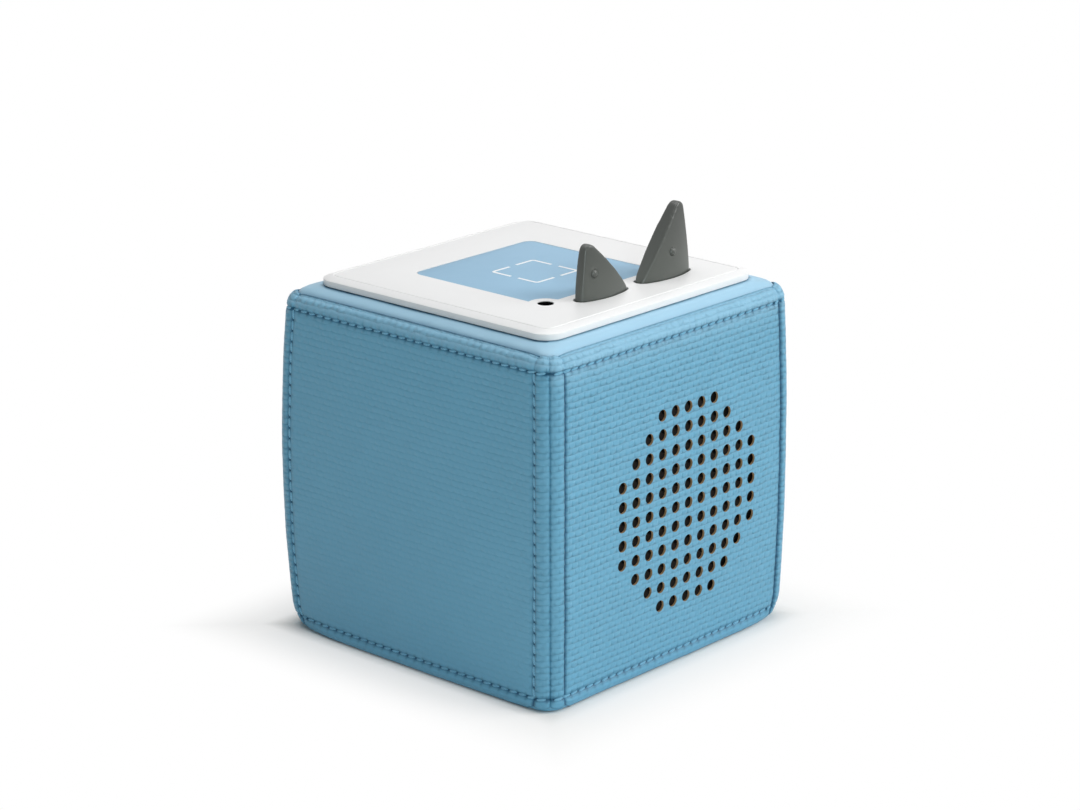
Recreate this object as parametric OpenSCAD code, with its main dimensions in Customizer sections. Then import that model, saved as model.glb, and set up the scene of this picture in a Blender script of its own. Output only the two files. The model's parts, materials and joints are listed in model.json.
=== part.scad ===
// Audio story player: a soft padded cube with a bevelled top plate, two
// ear-shaped volume controls and a loudspeaker behind a round field of holes.
// Millimetres, +Z up, origin at the centre of the base, speaker facing -Y.

/* [Padded cover] */
// Width and depth across the crowned faces
body_w = 122.8; // [120:0.2:130]
// Height of the side panels above the table
panel_top = 116.6; // [114:0.2:124]
// How far each face swells past its edges
crown = 2.2; // [1.8:0.1:2.6]
// Radius of the four upright corners
corner_r = 7; // [5:0.5:9]
// Radius of the top and bottom edges
edge_r = 3; // [1.5:0.25:3.5]
// Thickness of the coated fabric at the edge of a face
cover_t = 2; // [1.6:0.1:2.6]
// Height of the cover's underside above the table
cover_lift = 0.5; // [0.3:0.1:1.2]
// Thickness of the fabric border under the body
under_t = 1.8; // [1:0.1:2.5]
// Width of the opening in the fabric border underneath
under_open_w = 88; // [70:1:94]
// Radius of the sewn grooves along the upright seams
seam_r = 0.6; // [0.3:0.05:1]
// Width of the groove around the top seam
seam_w = 0.8; // [0.4:0.1:1.2]
// Depth of the groove around the top seam
seam_depth = 0.8; // [0.4:0.1:1.2]

/* [Top border] */
// Rise from the side panels to the seat of the top plate
border_rise = 2.4; // [1.5:0.1:4]
// Thickness of the border at its sewn edge
border_edge_h = 1.6; // [1.2:0.1:3]
// Radius of the border's domed cross-section
border_dome_r = 18; // [14:1:24]
// Width of the opening in the border
border_open_w = 93; // [90:0.5:98]

/* [Speaker holes] */
// Distance between neighbouring holes
hole_pitch = 6.5; // [6:0.1:8]
// Diameter of a hole
hole_d = 3.9; // [3:0.1:4.5]
// Radius of the circle that holds all hole centres
field_r = 35.2; // [20:0.2:38]
// Extra diameter of the holes in the foam behind the fabric
foam_hole_extra = 0.6; // [0.2:0.1:1]

/* [Top plate] */
// Width of the plate
plate_w = 102.8; // [100:0.2:106]
// Radius of the plate's corners in plan
plate_corner_r = 8; // [6:0.5:12]
// Height of the upright edge
plate_wall = 2; // [1.5:0.1:3]
// Width of the bevel around the top
bevel_w = 3.6; // [2:0.1:5]
// Height of the bevel
bevel_h = 1.2; // [0.6:0.1:2]
// Thickness of the plate over its hollow
plate_skin = 2.4; // [2:0.1:2.8]
// Thickness of the skirt under the plate
skirt_t = 2; // [1.2:0.1:3]

/* [Placement pad] */
// Width of the soft pad set in the plate
pad_w = 56.6; // [50:0.2:60]
// Distance from the plate's centre to the pad's centre, to the rear
pad_y = 0.7; // [0:0.1:1.5]
// Corner radius of the pad
pad_corner_r = 3.5; // [2:0.5:6]
// Thickness of the pad
pad_t = 0.8; // [0.5:0.1:1]
// Width of the printed placement square
marker_w = 20.8; // [14:0.2:26]
// Width of its line
marker_line = 1; // [0.6:0.1:1.6]
// Gap in the middle of each side
marker_gap = 3.3; // [2:0.1:6]
// Thickness of the printed marker
marker_t = 0.3; // [0.1:0.05:0.45]

/* [Status light] */
// Distance of the light left of the centre
light_x = 26.4; // [24:0.2:28]
// Distance of the light in front of the centre
light_y = 27.8; // [26:0.2:28]
// Diameter of the light's lens
light_d = 5.2; // [4:0.1:6]
// Radius of the plain plate left around the light
light_halo_r = 5.9; // [5:0.1:7]

/* [Ears] */
// Distance of the ears in front of the centre
ear_y = 34; // [33.6:0.2:35]
// Radius of the ends of an ear in plan
ear_end_r = 2.25; // [2:0.05:2.6]
// Depth of an ear behind its centre line
ear_back = 3; // [2.8:0.1:3.4]
// Centre of the small ear, left of the plate's centre
small_ear_x = 6.7; // [6:0.1:7.4]
// Width of the small ear at its base
small_ear_w = 23; // [22:0.2:24]
// Depth of the small ear in front of its centre line
small_ear_front = 3.8; // [3.6:0.1:4.2]
// Height of the small ear above the plate
small_ear_h = 18; // [16:0.2:20]
// Distance of the small ear's tip from its upright side
small_ear_tip_in = 4.8; // [4.2:0.1:5.4]
// Centre of the large ear, right of the plate's centre
large_ear_x = 23.8; // [23.2:0.1:24.6]
// Width of the large ear at its base
large_ear_w = 24.8; // [24:0.2:26]
// Depth of the large ear in front of its centre line
large_ear_front = 4.2; // [4:0.1:4.6]
// Height of the large ear above the plate
large_ear_h = 24; // [21:0.2:27]
// Distance of the large ear's tip from its upright side
large_ear_tip_in = 5.8; // [5:0.1:6.4]
// Radius of an ear's tip
ear_tip_r = 2.5; // [2:0.1:3]
// Radius of the bowed slope of an ear
ear_slope_r = 240; // [120:10:400]
// Share of an ear's depth that is left at its tip
ear_thin = 0.6; // [0.55:0.01:0.8]
// Upright plane that an ear thins towards, behind its centre line
ear_thin_y = 1; // [0.8:0.1:1.2]
// Clearance between an ear and its slot in the plate
ear_gap = 0.25; // [0.1:0.05:0.4]
// Width of the flange that holds an ear under the plate
ear_flange_w = 1.2; // [0.8:0.1:1.4]
// Thickness of that flange
ear_flange_t = 1.6; // [1:0.1:1.8]

/* [Volume buttons] */
// Diameter of the nub on an ear
nub_d = 2.9; // [2.4:0.1:3.2]
// Height of the nub in front of the ear
nub_proud = 0.9; // [0.7:0.1:1.2]
// Height of the nubs above the plate
nub_z = 8.5; // [7.6:0.1:9]
// Distance of the small ear's nub from the ear's upright side
small_nub_in = 5.5; // [5.3:0.1:5.8]
// Distance of the large ear's nub from the ear's upright side
large_nub_in = 11.4; // [9:0.1:12]
// Clearance around a nub
nub_gap = 0.15; // [0.08:0.01:0.25]
// Travel of a button
press_travel = 0.6; // [0.3:0.05:0.65]
// Width of a button's collar past its nub
collar_w = 0.3; // [0.2:0.05:0.35]
// Thickness of that collar
collar_t = 0.8; // [0.5:0.05:0.9]

/* [Ear cores] */
// Width of the hollow in an ear
hollow_w = 5.2; // [5.1:0.05:5.4]
// Height of the hollow past the nub
hollow_over = 2.8; // [2.5:0.1:3]
// Depth of the hollow in front of the ear's centre line
hollow_front = 1.3; // [1.2:0.05:1.5]
// Clearance of a core in its ear
core_gap = 0.1; // [0.05:0.01:0.15]
// Thickness of a core
core_t = 2.3; // [2.2:0.05:2.5]
// Thickness of the strip board behind a core
strip_t = 0.5; // [0.3:0.05:0.55]
// Thickness of the press switch
switch_t = 0.7; // [0.5:0.05:0.75]
// Width of the press switch
switch_w = 3.2; // [2.8:0.1:3.4]
// Width of a core's foot
foot_w = 10; // [8:0.5:11]
// Height of a core's foot
foot_h = 2.8; // [2.2:0.1:3]

/* [Inner case] */
// Thickness of the foam between case and cover
foam_t = 4.2; // [3:0.1:4.6]
// Wall of the case
case_wall = 2.2; // [1.8:0.1:2.8]
// Floor of the case
case_floor = 2.5; // [2:0.1:3.5]
// Thickness of the deck that closes the case
deck_t = 3; // [2.6:0.1:3.4]
// Gap around the deck
deck_gap = 0.4; // [0.2:0.1:0.8]
// Radius of the corner bosses
boss_r = 4.2; // [3.6:0.1:4.8]
// Length of the corner bosses
boss_len = 16; // [12:1:30]
// Radius of the bosses under the top plate
plate_boss_r = 3.2; // [2.8:0.1:3.4]
// Distance of those bosses from the corner bosses, along each side
plate_boss_in = 7.1; // [7:0.1:7.4]
// Distance of the base screws from the centre
base_screw_at = 34; // [32:0.5:36]

/* [Base] */
// Gap between base plate and fabric
base_gap = 0.3; // [0.2:0.05:0.6]
// Height of the base plate's face above the table
base_lift = 0.7; // [0.6:0.05:1]
// Thickness of the base plate's rim above the fabric
base_rim_t = 1.3; // [1:0.1:2]
// Width of that rim past the opening
base_rim_w = 4; // [3:0.2:4.4]
// Diameter of the charging socket
dock_d = 28; // [24:0.5:29]
// Depth of the charging socket
dock_depth = 3.7; // [3.2:0.1:4]
// Wall of the charging socket
dock_wall = 1.6; // [1.2:0.1:1.7]
// Diameter of a charging contact
contact_d = 3; // [2:0.1:4]
// Distance between the charging contacts
contact_pitch = 7; // [5:0.5:7.5]
// How far a contact stands into the socket
contact_proud = 1.2; // [0.5:0.1:2]
// Diameter of a foot
foot_d = 10; // [8:0.5:11]
// Thickness of a foot
foot_t = 1.3; // [1:0.1:1.5]
// Distance of the feet from the centre
foot_at = 37; // [34:0.5:37.5]

/* [Loudspeaker] */
// Distance of the speaker right of the centre
speaker_x = 5; // [3:0.5:6]
// Height of the speaker's centre
speaker_z = 55; // [52:0.5:60]
// Radius of the opening in the case
speaker_open_r = 33; // [31.5:0.1:33]
// Radius of the speaker's flange
speaker_flange_r = 40; // [39.6:0.1:41]
// Thickness of the flange
speaker_flange_t = 2; // [1.5:0.1:2.5]
// Width of the foam gasket
gasket_w = 2; // [1.5:0.1:2.1]
// Thickness of the gasket
gasket_t = 1; // [0.6:0.1:1.5]
// Depth of the basket behind the flange
basket_depth = 17.8; // [16:0.1:20]
// Radius of the basket's mouth
basket_mouth_r = 35.2; // [34.6:0.1:35.4]
// Radius of the basket's rear
basket_rear_r = 22.4; // [21.8:0.1:24]
// Wall of the basket
basket_wall = 1.2; // [1:0.1:1.4]
// Radius of the magnet
magnet_r = 21; // [18:0.2:21.5]
// Thickness of the magnet
magnet_t = 11; // [8:0.5:13]
// Thickness of the steel plates in front of and behind the magnet
steel_t = 3.5; // [2.5:0.1:4]
// Radius of the pole
pole_r = 8.3; // [8:0.1:8.4]
// Radius of the voice coil's inside
coil_r = 8.9; // [8.8:0.05:9]
// Thickness of the coil and its former
coil_t = 0.7; // [0.4:0.05:0.8]
// Length of the voice coil
coil_len = 11; // [9:0.5:12]
// Gap between the coil and what is around it
coil_gap = 0.5; // [0.4:0.05:0.8]
// Depth of the cone
cone_depth = 11.5; // [10:0.5:12.5]
// Thickness of the cone
cone_t = 0.7; // [0.5:0.05:1]
// Width of the roll of the surround
roll_w = 2.8; // [2.4:0.1:3]
// Gap between the cone and its surround
roll_gap = 0.3; // [0.2:0.05:0.5]
// Furthest travel of the cone each way
cone_travel = 0.8; // [0.4:0.1:1]

/* [Electronics] */
// Width of the main board
board_w = 80; // [76:1:82]
// Lower edge of the main board
board_z0 = 12; // [10:0.5:13]
// Height of the main board
board_h = 72; // [71:0.5:80]
// Thickness of the boards
board_t = 1.6; // [1.2:0.1:2]
// Distance of the main board from the case's rear wall
board_stand = 6; // [5.4:0.1:6.4]
// Depth of the sockets on the main board
socket_d = 5; // [4.9:0.05:5]
// Distance of the headphone jack left of the centre
jack_x = 26; // [24:0.5:27]
// Height of the headphone jack
jack_z = 20; // [19:0.5:24]
// Diameter of the headphone jack's bore
jack_d = 3.6; // [3.5:0.05:3.7]
// Diameter of the jack's barrel
jack_barrel_d = 8; // [7:0.1:9]
// Depth of the barrel's end below the edge of the face
jack_recess = 0.2; // [0.1:0.1:1]
// Thickness of the jack's closed back
jack_back_t = 0.2; // [0.2:0.05:1]
// Clearance around the jack's barrel
jack_gap = 0.3; // [0.2:0.05:0.6]
// Width of the antenna board
antenna_w = 62; // [60:0.5:66]
// Thickness of the antenna board
antenna_t = 1.2; // [0.8:0.1:1.4]
// Height of the antenna board above the deck
antenna_stand = 2; // [1.6:0.1:2.1]
// Front edge of the antenna board, in front of the centre
antenna_front = 30; // [29.4:0.1:30.3]
// Diameter of the figure magnet
holder_magnet_d = 16; // [12:0.5:18]
// Thickness of the figure magnet
holder_magnet_t = 4; // [3:0.1:4.4]
// Wall of the magnet's cup
cup_wall = 1.9; // [1.2:0.1:2.4]

/* [Battery] */
// Diameter of a cell
cell_d = 14.2; // [13.8:0.1:14.4]
// Length of a cell
cell_len = 50; // [46:0.5:51]
// Distance between the cells' centres
cell_pitch = 14.4; // [14.4:0.05:14.8]
// Thickness of the film sleeve
sleeve_t = 0.3; // [0.15:0.05:0.4]
// Gap around cells and pack
pack_gap = 0.1; // [0.05:0.01:0.2]
// Wall of the battery tray
tray_wall = 1.6; // [1.2:0.1:2.4]
// Floor of the battery tray
tray_floor = 1.4; // [1:0.1:2]
// Height of the tray's floor above the case's floor
tray_lift = 3.3; // [3.1:0.1:3.6]
// Height of the tray's rim above its floor
tray_h = 7; // [5:0.5:10]
// Width of the battery strap
strap_w = 14; // [10:0.5:15]
// Thickness of the strap
strap_t = 1; // [0.8:0.1:1.4]

/* [Parts on the boards] */
// Width of the processor
processor_w = 12; // [8:0.5:14]
// Width of the amplifier
amplifier_w = 7; // [5:0.5:8]
// Width of the charging chip
charger_w = 4; // [3:0.5:6]
// Thickness of the chips
chip_t = 1.4; // [0.8:0.1:2]
// Width of the wireless module
module_w = 18; // [14:0.5:18]
// Height of the wireless module
module_h = 24; // [18:0.5:26]
// Thickness of the wireless module
module_t = 2.4; // [1.6:0.1:3]
// Width of a lead's socket
socket_w = 8; // [5:0.5:9]
// Height of a lead's socket
socket_h = 5; // [4:0.5:6]
// Width of the headphone jack's body
jack_body_w = 11; // [10:0.5:12]
// Height of the headphone jack's body
jack_body_h = 10; // [9:0.5:11]
// Width of the memory card
card_w = 11; // [10.8:0.1:11.2]
// Length of the memory card
card_len = 15; // [14.8:0.1:15.2]
// Thickness of the memory card
card_thick = 0.9; // [0.8:0.1:1.1]
// Thickness of the charge board
charge_board_t = 1.2; // [0.8:0.1:1.4]
// Width of the charge board's connector
charge_plug_w = 4; // [3:0.1:5]
// Height of that connector
charge_plug_h = 2; // [1.8:0.05:2.1]

/* [Screws and leads] */
// Length of the case screws
screw_len = 8; // [7:0.5:9]
// Diameter of the board and speaker screws
small_screw_d = 2; // [1.6:0.1:2.2]
// Diameter of their heads
small_head_d = 3.8; // [3.4:0.1:4]
// Height of their heads
small_head_h = 1.4; // [1:0.1:1.6]
// Diameter of the ear screws
ear_screw_d = 1.6; // [1.4:0.1:1.8]
// Diameter of the ear screws' heads
ear_head_d = 3.2; // [2.8:0.1:3.6]
// Height of the ear screws' heads
ear_head_h = 1.2; // [0.8:0.1:1.4]
// How far the ear screws reach into the ear cores
ear_screw_bite = 2.2; // [1.8:0.1:2.6]
// Diameter of the case screws
screw_d = 3; // [2.6:0.1:3.2]
// Diameter of the screw heads
screw_head_d = 5.4; // [4.8:0.1:5.6]
// Height of the screw heads
screw_head_h = 1.6; // [1.2:0.1:1.7]
// Clearance of a screw in the part that it clamps
screw_gap = 0.2; // [0.1:0.05:0.3]
// Radius of the thicker leads
lead_r = 1; // [0.8:0.05:1]
// Radius of the ear leads
fine_lead_r = 0.5; // [0.3:0.05:0.5]

/* [Hidden] */

$fn = 96;
eps = 0.01;
far = 200;

// The cover and what it wraps, from the outside in
half = body_w / 2;
edge_half = half - crown;
lining_half = edge_half - cover_t;
lining_corner_r = corner_r - cover_t;
case_half = lining_half - foam_t;
case_inner = case_half - case_wall;
case_corner_r = 5;

// The stack of levels, from the table up
under_top = cover_lift + under_t;
case_z0 = under_top + base_rim_t;
floor_top = case_z0 + case_floor;
deck_top = panel_top - border_edge_h;
case_top = deck_top - deck_t;
plate_z0 = panel_top + border_rise;
plate_top = plate_z0 + plate_wall + bevel_h;
plate_under = plate_top - plate_skin;
pad_z0 = plate_top - pad_t;
crown_z = (cover_lift + panel_top) / 2;

// A screw's place in each corner of the case
boss_at = case_inner - boss_r;
plate_boss_at = boss_at - plate_boss_in;

// The four ways that repeat round the square
corners = [[1, 1], [-1, 1], [-1, -1], [1, -1]];

// ---------------------------------------------------------------- outlines

// A square of half width h with corners of radius r
module rounded_square(h, r) {
    square([2 * h, 2 * (h - r)], center = true);
    square([2 * (h - r), 2 * h], center = true);
    for (c = corners) translate([c[0] * (h - r), c[1] * (h - r)]) circle(r = r);
}

// A slab with that outline, from z0 to z1
module slab(h, r, z0, z1) {
    translate([0, 0, z0]) linear_extrude(z1 - z0) rounded_square(h, r);
}

// A square ring of half widths h_out and h_in
module ring_slab(h_out, r_out, h_in, r_in, z0, z1) {
    difference() {
        slab(h_out, r_out, z0, z1);
        slab(h_in, r_in, z0 - 1, z1 + 1);
    }
}

// A box between two opposite corners
module block(low, high) {
    translate(low) cube(high - low);
}

// A cylinder along +Y from y0 to y1
module y_rod(x, z, y0, y1, r) {
    translate([x, y0, z]) rotate([-90, 0, 0]) cylinder(r = r, h = y1 - y0);
}

// A tapering rod along +Y
module y_cone(x, z, y0, y1, r0, r1) {
    translate([x, y0, z]) rotate([-90, 0, 0]) cylinder(r1 = r0, r2 = r1, h = y1 - y0);
}

// A rod along +Z from z0 to z1
module z_rod(x, y, z0, z1, r) {
    translate([x, y, z0]) cylinder(r = r, h = z1 - z0);
}

// A pan-head screw that points along +Z, its head's seat at the origin
module screw(d, head_d, head_h, length) {
    translate([0, 0, -head_h]) cylinder(d = head_d, h = head_h);
    cylinder(d = d, h = length);
}

// ------------------------------------------------------------- padded cover

// A face bows along a large arc, drawn in short straight steps
crown_steps = 10;

// Radius of the arc that swells a face by the crown over half its width
crown_r = (edge_half * edge_half + crown * crown) / (2 * crown);

// The plan of the cover: a rounded square with bowed sides
module cover_plan() {
    intersection() {
        rounded_square(half, corner_r);
        crown_side(0);
        crown_side(90);
        crown_side(180);
        crown_side(270);
    }
}

// The elevation of the cover: bowed at the sides, flat at top and bottom
module cover_elevation() {
    mid = (panel_top - cover_lift) / 2;
    intersection() {
        union() {
            square([2 * half, 2 * (mid - edge_r)], center = true);
            square([2 * (half - edge_r), 2 * mid], center = true);
            for (c = corners) translate([c[0] * (half - edge_r), c[1] * (mid - edge_r)]) circle(r = edge_r);
        }
        crown_side(90);
        crown_side(270);
    }
}

// All that lies behind the bowed side turned by an angle from -Y
module crown_side(turn) {
    reach = asin((half + 1) / crown_r);
    rotate(turn) polygon(concat(
        [[far, far], [-far, far]],
        arc([0, crown_r - half], crown_r, -90 - reach, -90 + reach, crown_steps)
    ));
}

// The whole padded block with its crowned faces
module cover_block() {
    intersection() {
        translate([0, 0, cover_lift]) linear_extrude(panel_top - cover_lift) cover_plan();
        translate([0, far, crown_z]) rotate([90, 0, 0]) linear_extrude(2 * far) cover_elevation();
        translate([-far, 0, crown_z]) rotate([90, 0, 90]) linear_extrude(2 * far) cover_elevation();
    }
}

// One of the four sewn panels; turn 0 is the front
module side_panel(turn) {
    groove_at = half - corner_r + corner_r / sqrt(2);
    difference() {
        intersection() {
            cover_block();
            rotate([0, 0, turn]) linear_extrude(far) polygon([[0, 0], [-far, -far], [far, -far]]);
        }
        slab(lining_half, lining_corner_r, -1, far);
        slab(lining_half + seam_w / 2, lining_corner_r + seam_w / 2, panel_top - seam_depth, far);
        rotate([0, 0, turn]) for (side = [-1, 1])
            z_rod(side * groove_at, -groove_at, -1, far, seam_r);
    }
}

// The centres of the speaker holes on a square grid inside a circle
function hole_centres() =
    let (n = floor(field_r / hole_pitch))
    [for (i = [-n:n]) for (j = [-n:n])
        if (norm([i, j]) * hole_pitch <= field_r) [i * hole_pitch, j * hole_pitch]];

// Rods through all speaker holes, between two depths
module speaker_holes(y0, y1, d) {
    for (c = hole_centres()) y_rod(speaker_x + c[0], speaker_z + c[1], y0, y1, d / 2);
}

module front_panel() {
    color("#6fa9c9") difference() {
        side_panel(0);
        speaker_holes(-half - 1, -case_half, hole_d);
    }
}

module right_panel() {
    color("#6fa9c9") side_panel(90);
}

module rear_panel() {
    color("#6fa9c9") difference() {
        side_panel(180);
        y_rod(-jack_x, jack_z, case_half, half + 1, jack_barrel_d / 2 + jack_gap);
    }
}

module left_panel() {
    color("#6fa9c9") side_panel(270);
}

// The smooth domed ring between the side panels and the plate
module top_border() {
    edge_z = panel_top - seam_depth / 2;
    dome_x = border_dome_reach(edge_z);
    dome_z = plate_z0 + 0.5 - border_dome_r;
    color("#a3c6dd") difference() {
        intersection() {
            slab(lining_half, lining_corner_r, deck_top, plate_z0 + 1);
            translate([0, far, 0]) rotate([90, 0, 0]) linear_extrude(2 * far) border_dome(dome_x, dome_z);
            translate([-far, 0, 0]) rotate([90, 0, 90]) linear_extrude(2 * far) border_dome(dome_x, dome_z);
        }
        slab(border_open_w / 2, plate_corner_r - 2, 0, far);
        slab(plate_w / 2 + 0.1, plate_corner_r + 0.1, plate_z0, far);
        ring_slab(far, 1, lining_half - seam_w / 2, lining_corner_r - seam_w / 2,
                  panel_top - seam_depth, far);
    }
}

// How far out the dome's centre lies, so that it meets the sewn edge at height z
function border_dome_reach(z) =
    let (drop = plate_z0 + 0.5 - z)
    lining_half - sqrt(pow(border_dome_r, 2) - pow(border_dome_r - drop, 2));

// The border's elevation: a flat top that rounds down to the sewn edge
module border_dome(reach, centre_z) {
    translate([-reach, 0]) square([2 * reach, centre_z + border_dome_r]);
    for (side = [-1, 1]) translate([side * reach, centre_z]) circle(r = border_dome_r);
}

module underside_border() {
    color("#5e97b8")
        ring_slab(lining_half, lining_corner_r, under_open_w / 2, plate_corner_r, cover_lift, under_top);
}

module foam_liner() {
    color("#b08d6a") difference() {
        ring_slab(lining_half, lining_corner_r, case_half, case_corner_r, under_top, case_top);
        speaker_holes(-half, -case_half + 1, hole_d + foam_hole_extra);
        y_rod(-jack_x, jack_z, case_half - 1, half, jack_barrel_d / 2 + jack_gap);
    }
}

// ---------------------------------------------------------------- top plate

// A bevelled square slab: cones at the corners, trapezoids along the sides
module bevelled_slab(h, r, z0, wall, wide, high) {
    in = h - r;
    for (c = corners) translate([c[0] * in, c[1] * in, z0]) {
        cylinder(r = r, h = wall);
        translate([0, 0, wall]) cylinder(r1 = r, r2 = r - wide, h = high);
    }
    for (turn = [0, 90]) rotate([0, 0, turn]) translate([0, in, z0]) rotate([90, 0, 0])
        linear_extrude(2 * in) polygon([
            [-h, 0], [h, 0], [h, wall], [h - wide, wall + high], [-h + wide, wall + high], [-h, wall]
        ]);
}

module top_plate() {
    skirt_half = border_open_w / 2 - 0.3;
    color("#f1f1f0") difference() {
        union() {
            bevelled_slab(plate_w / 2, plate_corner_r, plate_z0, plate_wall, bevel_w, bevel_h);
            slab(skirt_half, plate_corner_r - 2, deck_top, plate_z0);
        }
        difference() {
            slab(skirt_half - skirt_t, plate_corner_r - 3, deck_top - 1, plate_under);
            for (c = plate_boss_at * corners) z_rod(c[0], c[1], deck_top, plate_under, plate_boss_r);
        }
        for (c = corners)
            z_rod(c[0] * plate_boss_at, c[1] * plate_boss_at,
                  deck_top - 1, case_top + screw_len, screw_d / 2);
        translate([0, 0, pad_z0]) linear_extrude(far) pad_outline(0);
        z_rod(-light_x, -light_y, 0, far, light_d / 2 + 0.05);
        small_ear_place(0) ear_prism(small_ear_w, small_ear_front, ear_gap, 0, far);
        large_ear_place(0) ear_prism(large_ear_w, large_ear_front, ear_gap, 0, far);
    }
}

// The pad's outline, with one corner cut round the status light
module pad_outline(shrink) {
    difference() {
        translate([0, pad_y]) rounded_square(pad_w / 2 - shrink, pad_corner_r);
        translate([-light_x, -light_y]) circle(r = light_halo_r + shrink);
    }
}

module placement_pad() {
    color("#9fc3da") difference() {
        translate([0, 0, pad_z0]) linear_extrude(pad_t) pad_outline(0);
        translate([0, 0, plate_top - marker_t]) linear_extrude(1) marker_outline();
    }
}

// Four corner brackets that mark where a figure stands
module marker_outline() {
    h = marker_w / 2;
    r = 1.6;
    translate([0, pad_y]) difference() {
        rounded_square(h, r);
        rounded_square(h - marker_line, r - marker_line);
        square([marker_gap, 2 * h + 1], center = true);
        square([2 * h + 1, marker_gap], center = true);
    }
}

module placement_marker() {
    color("white") translate([0, 0, plate_top - marker_t]) linear_extrude(marker_t) marker_outline();
}

module light_lens() {
    color("#101010") {
        z_rod(-light_x, -light_y, plate_under - 0.8, plate_top - 0.1, light_d / 2);
        z_rod(-light_x, -light_y, plate_under - 0.8, plate_under, light_d / 2 + 0.8);
    }
}

module status_light() {
    board_top = deck_top + antenna_stand + antenna_t;
    color("#e8f0d0")
        block([-light_x - 0.8, -light_y - 0.8, board_top],
              [-light_x + 0.8, -light_y + 0.8, plate_under - 0.9]);
}

// --------------------------------------------------------------------- ears

// Radius of a circle that bows out by d and runs into end circles of radius r at +-a
function bow_r(a, r, d) = (a * a + d * d - r * r) / (2 * (d - r));

// Where that circle runs into the end circle on the +X side, bowing to +Y
function bow_touch(a, r, d) =
    let (big = bow_r(a, r, d), s = big / (big - r))
    [a * s, d - big + (big - d) * s];

// Points on an arc of radius r about c, from angle a0 to just short of angle a1
function arc_steps(c, r, a0, a1, n) =
    [for (i = [0:n - 1]) let (a = a0 + (a1 - a0) * i / n) c + r * [cos(a), sin(a)]];

// The same arc with its last point
function arc(c, r, a0, a1, n) = concat(arc_steps(c, r, a0, a1, n), [c + r * [cos(a1), sin(a1)]]);

// The angle of a point as seen from c
function bearing(c, p) = atan2(p[1] - c[1], p[0] - c[0]);

// The leaf-shaped plan of an ear, grown by g all round
module ear_leaf(w, front, g) {
    r = ear_end_r + g;
    a = w / 2 - ear_end_r;
    front_r = bow_r(a, r, front + g);
    back_r = bow_r(a, r, ear_back + g);
    front_c = [0, front_r - front - g];
    back_c = [0, ear_back + g - back_r];
    f = bow_touch(a, r, front + g);
    b = bow_touch(a, r, ear_back + g);
    polygon(concat(
        arc_steps(front_c, front_r, bearing(front_c, [-f[0], -f[1]]), bearing(front_c, [f[0], -f[1]]), 14),
        arc_steps([a, 0], r, bearing([a, 0], [f[0], -f[1]]), bearing([a, 0], b), 8),
        arc_steps(back_c, back_r, bearing(back_c, b), bearing(back_c, [-b[0], b[1]]), 10),
        arc_steps([-a, 0], r, bearing([-a, 0], [-b[0], b[1]]), 360 + bearing([-a, 0], [-f[0], -f[1]]), 8)
    ));
}

module ear_prism(w, front, g, z0, z1) {
    translate([0, 0, z0]) linear_extrude(z1 - z0) ear_leaf(w, front, g);
}

// The body of an ear, which thins from the plate to its tip
module ear_body(w, front, h) {
    translate([0, ear_thin_y, plate_top])
        linear_extrude(h, scale = [1, ear_thin], slices = 1) translate([0, -ear_thin_y]) ear_leaf(w, front, 0);
}

// Where a depth at the plate comes to lie at height z on an ear of height h
function thinned(y, z, h) = ear_thin_y + (y - ear_thin_y) * (1 - (1 - ear_thin) * z / h);

// Moves a shape drawn round an ear's own centre to the small or the large ear
module small_ear_place(z) {
    translate([-small_ear_x, -ear_y, z]) children();
}

module large_ear_place(z) {
    translate([large_ear_x, -ear_y, z]) children();
}

// Centre of a circle of radius big that holds the tip circle and passes the foot point
function slope_centre(tip, r, foot, big) =
    let (d = foot - tip,
         dist = norm(d),
         along = (pow(big - r, 2) - big * big + dist * dist) / (2 * dist),
         up = sqrt(pow(big - r, 2) - along * along),
         u = d / dist)
    tip + u * along + [-abs(u[1]), -abs(u[0])] * up;

// Where a straight line from a foot point touches the tip circle on its -X side
function side_touch(tip, r, foot) =
    let (d = tip - foot,
         turn = asin(r / norm(d)),
         len = sqrt(pow(norm(d), 2) - r * r),
         at = atan2(d[1], d[0]) + turn)
    foot + len * [cos(at), sin(at)];

// The upright outline of an ear: straight side at -X and bowed slope down to +X
module ear_profile(w, h, tip_in) {
    tip = [-w / 2 + tip_in, h - ear_tip_r];
    foot = [w / 2, 0];
    heel = [-w / 2, 0];
    centre = slope_centre(tip, ear_tip_r, foot, ear_slope_r);
    top = bearing(centre, tip);
    side = bearing(tip, side_touch(tip, ear_tip_r, heel));
    polygon(concat(
        [[w / 2, -1], [-w / 2, -1], heel],
        arc(tip, ear_tip_r, side, top, 12),
        arc(centre, ear_slope_r, top, bearing(centre, foot), 14)
    ));
}

// One ear in its own place, with its upright side at -X
module ear_skin(w, front, h, tip_in, nub_in) {
    stem_z = plate_under - ear_flange_t;
    difference() {
        union() {
            intersection() {
                ear_body(w, front, h);
                translate([0, far / 2, plate_top]) rotate([90, 0, 0])
                    linear_extrude(far) ear_profile(w, h, tip_in);
            }
            ear_prism(w, front, 0, stem_z, plate_top);
            ear_prism(w, front, ear_flange_w, stem_z, plate_under);
        }
        ear_hollow(w, nub_in, 0, stem_z - 1);
        y_rod(nub_in - w / 2, plate_top + nub_z, -front - 1, 0, nub_d / 2 + nub_gap);
    }
}

// The hollow that holds an ear's core, board and switch
module ear_hollow(w, nub_in, shrink, z0) {
    x = nub_in - w / 2;
    block([x - hollow_w / 2 + shrink, -hollow_front + shrink, z0],
          [x + hollow_w / 2 - shrink, core_t + strip_t - hollow_front + 2 * core_gap - shrink,
           plate_top + nub_z + hollow_over - shrink]);
}

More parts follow.
